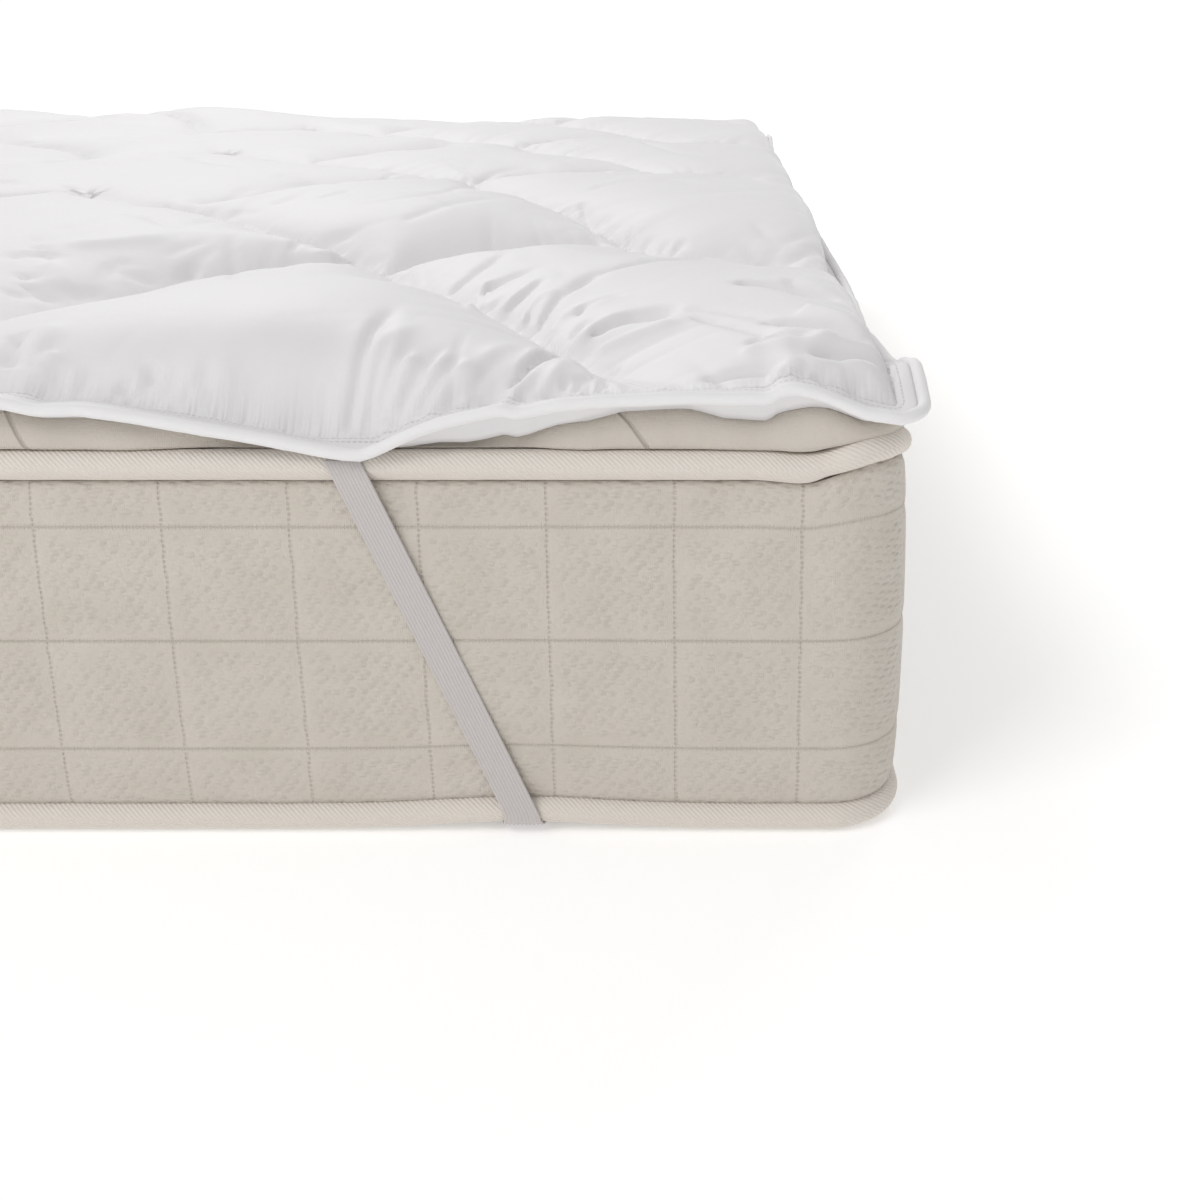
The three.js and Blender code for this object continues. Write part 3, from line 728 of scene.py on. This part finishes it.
def pad_top(x, y, rising, falling):
    """The quilted upper side over plan points: how far across, how high, and its marks."""
    up, up_run, _ = rising.nearest(x, y)
    down, down_run, _ = falling.nearest(x, y)
    up_away, down_away = np.abs(up) + TINY, np.abs(down) + TINY
    away = (up_away ** -SEAM_BLEND + down_away ** -SEAM_BLEND) ** (-1 / SEAM_BLEND)
    rim, run = rim_distance(x, y), rim_run(x, y)
    inner = np.maximum(rim - FLANGE_WIDTH, 0)
    from_end = np.maximum(HALF_Y + OVERHANG - FLANGE_WIDTH - np.abs(y), 0)
    from_side = np.maximum(HALF_X + OVERHANG - FLANGE_WIDTH - np.abs(x), 0)

    height = quilt_height(x, y, away)
    started = smoothstep(inner / GATHER_START) * swelling(away / STITCH_HOLD)
    height += gathers(up_away, up_run + OTHER_SIDE * (up > 0), 11, started)
    height += gathers(down_away, down_run + OTHER_SIDE * (down > 0), 71, started)
    flange = edge_height(x, y) + FLANGE / 2
    swell = swelling(inner / LONG_REACH) * swelling(from_end / END_REACH)
    height = flange + (height - flange) * swell
    started = smoothstep((rim - FLANGE_WIDTH + RIM_EARLY) / RIM_START)
    height += gathers(inner, run, 21, started) * RIM_GATHERS
    kept = smoothstep((rim - FOLDS_FROM) / FOLDS_BLEND)
    for fold in FOLDS:
        height += fold_height(x, y, fold) * kept
    thickness = THINNEST * smoothstep(rim / THIN_REACH + THIN_AT_RIM)
    height = np.maximum(height, underside_height(rim - OVERHANG, x, y) + thickness)
    for groove in GROOVES:
        height -= groove.depth * MM * bell((rim / MM - groove.place) / groove.width)

    bulge = SIDE_BULGE * swelling(from_end / BULGE_END)
    bulge *= swelling(from_side / BULGE_START) * bell(from_side / BULGE_REACH)
    bulge *= 1 - BULGE_LOST * np.exp(-away / BULGE_SEAM)
    marks = {"rim": rim, "rim_run": run, "up": up_away, "up_run": up_run,
             "down": down_away, "down_run": down_run}
    return x + np.sign(x) * bulge, height, marks


def fold_under(bm, inset):
    """Carries the pad's border on to another inset, along the mattress."""
    border = [edge for edge in bm.edges if edge.is_boundary]
    made = bmesh.ops.extrude_edge_only(bm, edges=border)["geom"]
    verts = [item for item in made if isinstance(item, bmesh.types.BMVert)]
    spots = inset_spots(np.array([vert.co.xy for vert in verts]), inset, TOPPER_CORNER - OVERHANG)
    levels = underside_height(np.full(len(verts), inset), spots[:, 0], spots[:, 1])
    for vert, spot, level in zip(verts, spots, levels):
        vert.co = (*spot, level)


def topper_pad(rising, falling):
    """The filled pad: its quilted top, and its border folded under and closed."""
    columns = graded_lines(HALF_X + OVERHANG, COLUMN_STEPS)
    lines = graded_lines(HALF_Y + OVERHANG, LINE_STEPS)
    bm = bmesh.new()
    across, along = len(columns) - 1, len(lines) - 1
    bmesh.ops.create_grid(bm, x_segments=across, y_segments=along, size=1)
    unit = np.array([vert.co.xy for vert in bm.verts])
    place = np.rint((unit + 1) / 2 * (across, along)).astype(int)
    x, y = rounded_corner(np.column_stack([columns[place[:, 0]], lines[place[:, 1]]])).T

    # Grid points close to a seam are set on it, so that every seam is one clean crease.
    cell = np.minimum(np.gradient(columns)[place[:, 0]], np.gradient(lines)[place[:, 1]])
    for seams in (rising, falling):
        distance, _, way = seams.nearest(x, y)
        near = (np.abs(distance) < ON_SEAM * cell) & (rim_distance(x, y) > SEAMS_FROM_RIM)
        shift = distance * near
        x, y = x - shift * way[:, 1], y + shift * way[:, 0]

    x, height, marks = pad_top(x, y, rising, falling)
    for vert, spot in zip(bm.verts, np.column_stack([x, y, height])):
        vert.co = spot
    for name, values in marks.items():
        layer = bm.verts.layers.float.new(name)
        for vert, value in zip(bm.verts, values):
            vert[layer] = value
    for inset in [-OVERHANG, *UNDER_LINES]:
        fold_under(bm, inset)
    close_border(bm, bm.edges)
    return new_piece("topper_cover", bm)

# ---- the cord and the rolls

CORD_STEP, CORD_SIDES, CORD_PLUMP = 5 * MM, 12, 0.05
ROLL_STEP, ROLL_SIDES, ROLL_PLUMP = 4 * MM, 24, 0.01
BUNCH_REACH = 75 * MM  # of the top roll's tape round a corner
PINCH, PINCH_PLACE, PINCH_WIDTH = 0.12, 50 * MM, 8 * MM
CLIMB, CLIMB_FROM, CLIMB_REACH = 9 * MM, 62 * MM, 42 * MM
DIP, DIP_PLACE, DIP_WIDTH = 2.2 * MM, 66 * MM, 16 * MM


def tube(spots, outs, height, radius, sides):
    """Rings of points round a run of middles, each with its own radius."""
    angle = -2 * math.pi * np.arange(sides) / sides
    out = radius[:, None] * np.cos(angle)
    return np.dstack([spots[:, :1] + outs[:, :1] * out, spots[:, 1:] + outs[:, 1:] * out,
                      height[:, None] + radius[:, None] * np.sin(angle)])


def topper_cord():
    """The piping cord sewn round the topper."""
    spots, outs, run = outline_run(TOPPER_CORNER - OVERHANG, CORD_INSET, CORD_STEP)
    run = run[:-1]
    height = edge_height(spots[:, 0], spots[:, 1]) + uneven(run, 24, 0.6, 51)
    spots = spots + outs * uneven(run, 31, 0.15, 52)[:, None]
    radius = CORD_RADIUS * (1 + CORD_PLUMP * ripple(run / (9 * MM), 53))
    bm = bmesh.new()
    skin(bm, tube(spots, outs, height, radius, CORD_SIDES), True, True)
    return new_piece("topper_edge_cord", bm)


def low_roll_lift(x, y):
    return ROLL_LIFT * bell((corner_distance(x, y) - STRAP_FOOT) / ROLL_LIFT_REACH)


def top_roll_lift(x, y):
    """The top roll's tape bunches up and climbs at the corners."""
    from_corner = corner_distance(x, y)
    climb = CLIMB * smoothstep((CLIMB_FROM - from_corner) / CLIMB_REACH)
    return climb - DIP * bell((from_corner - DIP_PLACE) / DIP_WIDTH)


def mattress_roll(name, high):
    """A rolled edge of the mattress: tape turned over a cord."""
    spots, outs, whole_run = outline_run(MATTRESS_CORNER, ROLL_INSET, ROLL_STEP)
    run, (x, y) = whole_run[:-1], spots.T
    radius = ROLL_RADIUS * (1 - ROLL_PLUMP + ROLL_PLUMP * ripple(run / (13 * MM), 63))
    if high:
        from_corner = corner_distance(x, y)
        near = smoothstep(1 - from_corner / BUNCH_REACH)
        height = ROLL_HIGH + top_roll_lift(x, y) + near * uneven(run, 18, 0.4, 65)
        radius *= 1 - PINCH * bell((from_corner - PINCH_PLACE) / PINCH_WIDTH)
        spots = spots + outs * (near * uneven(run, 15, 0.4, 62))[:, None]
    else:
        height = ROLL_LOW + low_roll_lift(x, y)
    bm = bmesh.new()
    around = np.linspace(0, 2 * math.pi * ROLL_RADIUS, ROLL_SIDES + 1)
    skin(bm, tube(spots, outs, height, radius, ROLL_SIDES), True, True,
         bm.loops.layers.uv.new("wrap"), whole_run, around)
    return new_piece(name, bm)

# ---- the mattress

SIDE_FULL, SIDE_POWER = 5 * MM, 0.4  # the side panel's swell, and how soon it is full
SIDE_LEVELS = 52
CHECK_COUNT = 93  # squares of the check round the mattress
CHECK_TALL = 73.5 * MM
CHECK_LEVEL = 134 * MM  # a level line of the check
CHECK_START = -19.4 * MM  # run of an upright line of the check
CHECK_DEPTH, CHECK_REACH = 1.2 * MM, 5 * MM
OUTLINE_STEP = 6.4 * MM
SEAT = ROLL_RADIUS + 0.2 * MM  # radius of the hollow in which a roll lies
LOW_SEAT = (-30, 0, 22, 45, 67, 90, 111)  # its stops, in degrees
TOP_SEAT = (-111, -90, -67, -45, -22, 0, 22, 45, 64)
UNDERSIDE = 2.8 * MM  # a strap runs under it
UNDERSIDE_REACH = 30 * MM
TOP_LIFT_POWER, LOW_LIFT_POWER = 5, 3  # how the rolls' lifts die away
LIFT_STOPS, LUMP_STOPS = 6, 2  # of the shoulder


def check_depth(run, level):
    """How far the ticking is drawn in by the lines of its check."""
    wide = run[-1] / CHECK_COUNT
    beside = np.abs((run[:-1] - CHECK_START + wide / 2) % wide - wide / 2)
    above = np.abs((level - CHECK_LEVEL + CHECK_TALL / 2) % CHECK_TALL - CHECK_TALL / 2)
    return CHECK_DEPTH * np.exp(-np.minimum(beside, above) / CHECK_REACH)


def seat_stops(part, height, degrees):
    return [(part, 0, ROLL_INSET + SEAT * math.cos(angle), height + SEAT * math.sin(angle))
            for angle in np.radians(degrees)]


def mattress_profile():
    """Each stop up the side and in over the top: its part, place, inset and height."""
    low_seat = seat_stops("low seat", ROLL_LOW, LOW_SEAT)
    top_seat = seat_stops("top seat", ROLL_HIGH, TOP_SEAT)
    bottom, top = low_seat[-1][-1], top_seat[0][-1]
    side = [("side", up, -SIDE_FULL * math.sin(math.pi * up) ** SIDE_POWER,
             bottom + up * (top - bottom)) for up in np.linspace(0, 1, SIDE_LEVELS)[1:-1]]
    under = [("under", 0, ROLL_INSET + SEAT + reach, UNDERSIDE) for reach in (UNDERSIDE_REACH, 0)]
    shoulder = [("shoulder", k, stop.inset * MM, stop.height * MM)
                for k, stop in enumerate(SHOULDER)]
    profile = under + low_seat + side + top_seat + shoulder
    steps = np.linalg.norm(np.diff([stop[2:] for stop in profile], axis=0), axis=1)
    drop = np.concatenate([[0], np.cumsum(steps)])
    return profile, drop + bottom - drop[len(under + low_seat) - 1]


def mattress_cover():
    """The mattress in its ticking: side panel, top panel and underside in one."""
    spots, _, run = outline_run(MATTRESS_CORNER, 0, OUTLINE_STEP)
    x, y = spots.T
    free = 1 - squeeze(x, y)
    top_lift, low_lift, lift = top_roll_lift(x, y), low_roll_lift(x, y), shoulder_lift(x, y)
    lumps = uneven(run[:-1], 70, 1.2, 81) + uneven(run[:-1], 21, 0.5, 82)
    profile, drop = mattress_profile()
    levels = []
    for part, place, inset, height in profile:
        insets, heights = np.full(len(x), inset), np.full(len(x), height)
        if part == "low seat":
            heights += low_lift
        elif part == "side":
            heights += top_lift * place ** TOP_LIFT_POWER
            heights += low_lift * (1 - place) ** LOW_LIFT_POWER
            insets += check_depth(run, heights)
        elif part == "top seat":
            heights += top_lift
        elif part == "shoulder":
            stop = SHOULDER[place]
            settled = min(1, place / LUMP_STOPS) if stop is not SHOULDER[-1] else 0
            insets += (stop.pressed_inset * MM - inset) * (1 - free) + lumps * settled * free
            heights += (stop.pressed_height * MM - height) * (1 - free)
            heights += (top_lift * max(0, 1 - place / LIFT_STOPS) + lift * stop.lift) * free
        levels.append(np.column_stack([inset_spots(spots, insets, MATTRESS_CORNER), heights]))
    bm = bmesh.new()
    skin(bm, np.stack(levels, axis=1), True, False, bm.loops.layers.uv.new("panel"), run, drop)
    border = [edge for edge in bm.edges if edge.is_boundary]
    for lower in (True, False):
        close_border(bm, [edge for edge in border
                          if (edge.verts[0].co.z < REST_HEIGHT / 2) == lower])
    return new_piece("mattress_cover", bm), run[-1]

# ---- the straps

STRAP_GAP = 0.8 * MM  # between a strap and the rolls
STRAP_SLACK = 0.9 * MM  # how far it sinks in between
STRAP_UNDER = 1.45 * MM  # height of its run under the mattress
UNDER_SHIFT, UNDER_PAST = 3 * MM, 2 * MM  # where that starts: to the corner, past the roll
STRAP_TUCK = 1.5 * MM  # its sewn end, in under the topper's edge
STRAP_STOPS, TURN_STEP = 14, 15
RIBS, RIB_POINTS, RIB_DEPTH = 10, 4, 0.55 * MM


def strap_section():
    """A ribbed outer side and a flat inner one: across from -1 to 1, and how far out."""
    t = np.arange(RIBS * RIB_POINTS + 1) / (RIBS * RIB_POINTS)
    out = STRAP_THICK / 2 - RIB_DEPTH * (1 + np.cos(2 * math.pi * RIBS * t)) / 2
    return (np.concatenate([2 * t - 1, [1, -1]]),
            np.concatenate([out, [-STRAP_THICK / 2, -STRAP_THICK / 2]]))


def strap_stops():
    """Down the foot end and round the lower roll: place, inset, height, lean, half width."""
    wrap = ROLL_RADIUS + STRAP_GAP + STRAP_THICK / 2
    turn = ROLL_LOW + ROLL_LIFT
    top = strap_high.z + STRAP_TUCK
    cut = STRAP_WIDTH / 2 / math.cos(math.atan2(STRAP_TOP - STRAP_FOOT, top - turn))
    flat_cut = STRAP_WIDTH * math.sqrt(0.5)
    stops = [(STRAP_TOP + (STRAP_FOOT - STRAP_TOP) * t,
              ROLL_INSET - wrap + STRAP_SLACK * math.sin(math.pi * t),
              top + (turn - top) * t, 0, cut) for t in np.linspace(0, 1, STRAP_STOPS)]
    for degrees in range(TURN_STEP, 91, TURN_STEP):
        lean = math.radians(degrees)
        stops.append((STRAP_FOOT, ROLL_INSET - wrap * math.cos(lean),
                      turn - wrap * math.sin(lean), lean,
                      cut + (flat_cut - cut) * degrees / 90))
    return stops + [(STRAP_FOOT - UNDER_SHIFT, ROLL_INSET + ROLL_RADIUS + UNDER_PAST,
                     STRAP_UNDER, QUARTER, flat_cut)]


def corner_strap(name, sx, sy):
    """One ribbed elastic, from the topper's end edge under the corner to its side edge."""
    across, out = strap_section()
    rings = []
    for place, inset, height, lean, half in strap_stops():
        rings.append(np.column_stack([place - across * half, inset - math.cos(lean) * out,
                                      height - math.sin(lean) * out]))
    rings += [ring[:, [1, 0, 2]] for ring in rings[::-1]]
    points = np.array((HALF_X, HALF_Y, 0)) - np.array(rings)
    bm = bmesh.new()
    made = skin(bm, points * (sx, sy, -1), False, True)
    bm.faces.new(made[0])
    bm.faces.new(made[-1])
    return new_piece(name, bm)

# ---- node trees


class Signal:
    """A value in a node tree, with the usual arithmetic."""

    def __init__(self, nodes, socket):
        self.nodes, self.socket = nodes, socket

    def __add__(self, other):
        return self.nodes.math("ADD", self, other)

    def __sub__(self, other):
        return self.nodes.math("SUBTRACT", self, other)

    def __rsub__(self, other):
        return self.nodes.math("SUBTRACT", other, self)

    def __mul__(self, other):
        return self.nodes.math("MULTIPLY", self, other)

    def __truediv__(self, other):
        return self.nodes.math("DIVIDE", self, other)

    def clamped(self):
        """The same, kept between 0 and 1."""
        self.socket.node.use_clamp = True
        return self


class Nodes:
    """A node tree, built node by node."""

    def __init__(self, tree):
        self.tree = tree

    def put(self, value, socket):
        if isinstance(value, Signal):
            self.tree.links.new(value.socket, socket)
        else:
            socket.default_value = value

    def node(self, kind, inputs, output, **settings):
        """Adds a node with its inputs, by name or by number, and gives one of its outputs."""
        node = self.tree.nodes.new("ShaderNode" + kind)
        for name, value in settings.items():
            setattr(node, name, value)
        for name, value in inputs.items():
            self.put(value, node.inputs[name])
        return Signal(self, node.outputs[output])

    def math(self, operation, *values):
        return self.node("Math", dict(enumerate(values)), 0, operation=operation)

    def most(self, *values):
        found = values[0]
        for value in values[1:]:
            found = self.math("MAXIMUM", found, value)
        return found

    def remap(self, value, low, high, at_low, at_high):
        inputs = dict(enumerate((value, low, high, at_low, at_high)))
        return self.node("MapRange", inputs, 0)

    def noise(self, where, scale, detail=2, **settings):
        inputs = {"Vector": where, "Scale": scale, "Detail": detail}
        return self.node("TexNoise", inputs, "Fac", **settings)

    def object_space(self):
        return self.node("TexCoord", {}, "Object")

    def uv(self, layer):
        return self.node("UVMap", {}, "UV", uv_map=layer)

    def split(self, vector):
        """The three parts of a vector."""
        node = self.node("SeparateXYZ", {0: vector}, 0).socket.node
        return [Signal(self, socket) for socket in node.outputs]


class Finish(Nodes):
    """A procedural material."""

    def __init__(self, name, color, roughness):
        self.material = bpy.data.materials.new(name)
        self.material.use_nodes = True
        super().__init__(self.material.node_tree)
        self.shader = self.tree.nodes["Principled BSDF"]
        self.set("Base Color", (*color, 1))
        self.set("Roughness", roughness)

    def set(self, name, value):
        self.put(value, self.shader.inputs[name])

    def bump(self, height, distance, strength):
        inputs = {"Height": height, "Distance": distance, "Strength": strength}
        self.set("Normal", self.node("Bump", inputs, "Normal"))

    def tint(self, share, low, high):
        """Colour that wanders between two close tones, and on past them."""
        inputs = {"Factor": share, "A": (*low, 1), "B": (*high, 1)}
        self.set("Base Color", self.node("Mix", inputs, "Result", data_type="RGBA",
                                         clamp_factor=False))

# ---- materials

STITCH_WIDTH = 0.6 * MM
STITCH_PITCH = 3.4 * MM
STITCH_ROWS = (8.2 * MM, 12.4 * MM)  # the flange's stitches, from the rim
PLEAT_LONG = 5  # how much longer than its spacing a pleat wanders
CHECK_SIDE_TOP = 238 * MM  # the check and the pips end below the top roll
CHECK_UPRIGHT, CHECK_UPRIGHT_PITCH = 1.3 * MM, 3.3 * MM
CHECK_BAR, CHECK_BAR_PITCH = 2 * MM, 2.1 * MM
CHECK_THREAD = 0.9 * MM
PIP_PITCH, PIP_SLANT, PIP_FLAT = 7.4 * MM, 24, 1.75
TUCK_WIDTH = 1.8 * MM
TWILL_PITCH = 3.2 * MM


def microfibre():
    """Fine white cloth; its smallest gathers follow the seams and the flange's stitches."""
    finish = Finish("white_microfibre", (0.80, 0.785, 0.79), 0.6)
    finish.set("Sheen Weight", 0.2)
    finish.set("Sheen Roughness", 0.5)
    where = finish.object_space()

    def mark(name):
        return finish.node("Attribute", {}, "Fac", attribute_name=name)

    def pleats(away, run, spacing, reach, begin):
        """Narrow pleats across a line of stitches, dying away from it."""
        place = finish.node("CombineXYZ", {0: run / spacing, 1: away / (PLEAT_LONG * reach)}, 0)
        level = finish.noise(place, 1, 1.5, noise_dimensions="2D")
        fade = finish.math("EXPONENT", finish.math("MAXIMUM", away - begin, 0) / -reach)
        started = ((away - (begin - 2 * MM)) * (1 / (3 * MM))).clamped()
        return level * fade * started

    rim, rim_place = mark("rim"), mark("rim_run")

    def stitches(at):
        """A row of stitches at a distance from the rim."""
        line = (1 - finish.math("ABSOLUTE", rim - at) / STITCH_WIDTH).clamped()
        turn = finish.math("SINE", rim_place * (2 * math.pi / STITCH_PITCH))
        return line * (turn * 1.6 + 0.8).clamped()

    sewn = finish.most(*[stitches(at) for at in STITCH_ROWS])
    up, down = (pleats(mark(kind), mark(kind + "_run"), 7 * MM, 10 * MM, 1 * MM)
                for kind in ("up", "down"))
    puckers = pleats(rim, rim_place, 4.5 * MM, 6 * MM, FLANGE_WIDTH)
    height = up + down + puckers * 1.5 - sewn * 0.35
    height += finish.noise(where, 45) * 0.35 + finish.noise(where, 800) * 0.05
    finish.bump(height, 2.2 * MM, 0.7)
    shade = finish.noise(where, 6) - sewn * 3
    finish.tint(shade, (0.78, 0.765, 0.77), (0.805, 0.79, 0.797))
    return finish.material


def cord_cloth():
    finish = Finish("white_piping_cloth", (0.84, 0.83, 0.83), 0.75)
    finish.bump(finish.noise(finish.object_space(), 700, 3), 0.3 * MM, 0.5)
    return finish.material


def ticking(total):
    """Ecru knit with a check of ladder stitches and slanted rows of small pips; the creases of its
    tucks carry painted shade.
    """
    finish = Finish("ecru_knit_ticking", (0.66, 0.60, 0.53), 0.85)
    finish.set("Sheen Weight", 0.15)
    panel = finish.uv("panel")
    across, up, _ = finish.split(panel)

    def line_distance(place, start, spacing):
        return finish.math("ABSOLUTE", finish.math("PINGPONG", place - start, spacing / 2))

    def band(distance, half):
        return (1 - distance / half).clamped()

    def wave(place, spacing):
        return finish.math("SINE", place * (2 * math.pi / spacing)) * 0.5 + 0.5

    def tuck(row):
        slope = -(row.end_run - row.run) / (row.end_height - row.height)
        middle = up * slope + (total - row.run * MM - slope * row.height * MM)
        line = band(finish.math("ABSOLUTE", across - middle), TUCK_WIDTH)
        return line * finish.math("GREATER_THAN", up, row.height * MM)

    # The check: uprights of ladder stitches, and level bars with a thread along their middle.
    wobble = (finish.noise(panel, 90) - 0.5) * (3 * MM)
    beside = line_distance(across + wobble, CHECK_START, total / CHECK_COUNT)
    above = line_distance(up, CHECK_LEVEL, CHECK_TALL)
    on_side = band(up - CHECK_SIDE_TOP, 4 * MM)
    upright = band(beside, CHECK_UPRIGHT) * wave(up, CHECK_UPRIGHT_PITCH)
    bar = band(above, CHECK_BAR) * wave(across, CHECK_BAR_PITCH)
    check = finish.most(band(above, CHECK_THREAD) * 0.8, upright, bar * 0.8) * on_side

    # Pips: one in each cell of a slanted grid, away from the lines of the check.
    slanted = finish.node("Mapping", {"Vector": panel, "Scale": (1, PIP_FLAT, 1),
                                      "Rotation": (0, 0, math.radians(PIP_SLANT))}, 0)
    cells = finish.node("TexVoronoi", {"Vector": slanted, "Scale": 1 / PIP_PITCH,
                                       "Randomness": 0.35}, "Distance")
    inside = (finish.math("MINIMUM", beside, above) * (1 / (9 * MM))).clamped()
    pips = band(cells, 0.5) * inside * on_side

    tucks = finish.most(*[tuck(row) for row in TUCKS])
    height = pips * 1.15 + (wave(across, 1.25 * MM) * 0.1 + wave(up, 1.7 * MM) * 0.06)
    height += finish.noise(panel, 420, 3) * 0.55 + finish.noise(panel, 70, 1) * 0.9
    height = height - check * 0.9 - tucks * 1.6
    finish.bump(height, 1.1 * MM, 0.9)
    # Colour: random tone, darker on the check's stitched lines, and painted shade darkening the
    # creases of the tucks.
    shade = (finish.noise(panel, 25) - (check + tucks) * 0.75).clamped()
    finish.tint(shade, (0.57, 0.52, 0.45), (0.66, 0.61, 0.55))
    return finish.material


def twill():
    """Tape with ribs that run slanting round the roll."""
    finish = Finish("ecru_twill_tape", (0.755, 0.70, 0.635), 0.85)
    tape = finish.uv("wrap")
    along, around, _ = finish.split(tape)
    rib = finish.math("SINE", (along - around) * (2 * math.pi / TWILL_PITCH))
    finish.bump(rib + finish.noise(tape, 500), 0.22 * MM, 0.8)
    return finish.material


def elastic():
    finish = Finish("grey_elastic", (0.59, 0.55, 0.54), 0.7)
    finish.bump(finish.noise(finish.object_space(), 1500), 0.2 * MM, 0.6)
    return finish.material

# ---- the studio

FLOOR_SIZE = 160.0
FLOOR_NEAR, FLOOR_FAR = 2.5, 7  # the floor glows more between these distances
FLOOR_GLOW, FAR_GLOW = 0.27, 0.55
ROOM_LIGHT = 0.59
LOW_LIGHT = 0.6
HORIZON_LIGHT = 1.05
RIGHT_SHADE = 0.35  # what is left of the light from low on the right
CAMERA_PLACE = (0.6735, -1.7983, 0.4982)
CAMERA_PITCH = 15.785
CAMERA_LENS, SENSOR = 42.45, 36
CAMERA_SHIFT = (-0.0825, -0.15)
LAMPS = rows("name place aim size power", [
    ("over_head", (-1.2, 3.6, 3.2), (0.2, 0.2, 0.3), 2, 66),
    ("from_left", (-1.6, -2.9, 3.3), (0.2, -0.9, 0.2), 2, 55),
    ("from_right", (2.6, 3.0, 2.0), (0.6, 0.8, 0.3), 1.6, 18),
])


def pale_floor():
    bm = bmesh.new()
    bmesh.ops.create_grid(bm, x_segments=1, y_segments=1, size=FLOOR_SIZE / 2)
    floor = new_mesh("floor", bm)
    ground = Finish("pale_floor", (0.93, 0.93, 0.93), 0.9)
    ground.set("Emission Color", (1, 1, 1, 1))
    away = ground.node("VectorMath", {0: ground.object_space()}, "Value", operation="LENGTH")
    ground.set("Emission Strength",
               ground.remap(away, FLOOR_NEAR, FLOOR_FAR, FLOOR_GLOW, FAR_GLOW))
    floor.data.materials.append(ground.material)


def room_light():
    """Bright ahead, brighter above than low down behind the viewer, and dim low on the right."""
    world = bpy.data.worlds.new("soft_room")
    bpy.context.scene.world = world
    world.use_nodes = True
    room = Nodes(world.node_tree)
    x, y, z = room.split(room.node("TexCoord", {}, "Generated"))
    ahead = room.remap(y, -0.1, 0.3, 0, 1) * room.remap(z, 0.03, 0.12, 1, 0)
    above = room.remap(z, 0.05, 0.6, LOW_LIGHT, ROOM_LIGHT)
    low_right = room.remap(x, 0, 0.9, 0, 1) * room.remap(z, 0, 0.5, 1, 0)
    around = above * room.remap(low_right, 0, 1, 1, RIGHT_SHADE)
    level = room.node("Mix", {"Factor": ahead, "A": around, "B": HORIZON_LIGHT}, "Result")
    background = room.tree.nodes["Background"]
    room.put((1, 1, 1, 1), background.inputs["Color"])
    room.put(level, background.inputs["Strength"])


def lamp(row):
    light = bpy.data.lights.new(row.name, "AREA")
    light.size = row.size
    light.energy = row.power
    panel = to_scene(row.name, light)
    panel.location = row.place
    way = Vector(row.aim) - Vector(row.place)
    panel.rotation_euler = way.to_track_quat("-Z", "Y").to_euler()


def viewer():
    camera = bpy.data.cameras.new("camera")
    camera.lens = CAMERA_LENS
    camera.sensor_width = SENSOR
    camera.shift_x, camera.shift_y = CAMERA_SHIFT
    eye = to_scene("camera", camera)
    eye.location = CAMERA_PLACE
    eye.rotation_euler = (math.radians(90 - CAMERA_PITCH), 0, 0)
    bpy.context.scene.camera = eye
    bpy.context.scene.view_settings.view_transform = "Standard"

# ---- assembly

pale_floor()
room_light()
for row in LAMPS:
    lamp(row)
viewer()

pad = topper_pad(Seams("rising"), Seams("falling"))
pad.data.materials.append(microfibre())
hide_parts("topper_pad")

cord = topper_cord()
cord.data.materials.append(cord_cloth())
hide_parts("topper_piping")

band = elastic()
for name, sx, sy in (("foot_right", 1, -1), ("head_right", 1, 1),
                     ("head_left", -1, 1), ("foot_left", -1, -1)):
    strap = corner_strap(f"elastic_{name}", sx, sy)
    strap.data.materials.append(band)
    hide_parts(f"strap_{name}")

cover, outline_length = mattress_cover()
cover.data.materials.append(ticking(outline_length))
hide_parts("mattress")

tape = twill()
top_roll = mattress_roll("mattress_top_roll", high=True)
low_roll = mattress_roll("mattress_low_roll", high=False)
for roll, node in ((top_roll, "mattress_top_piping"), (low_roll, "mattress_bottom_piping")):
    roll.data.materials.append(tape)
    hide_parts(node)
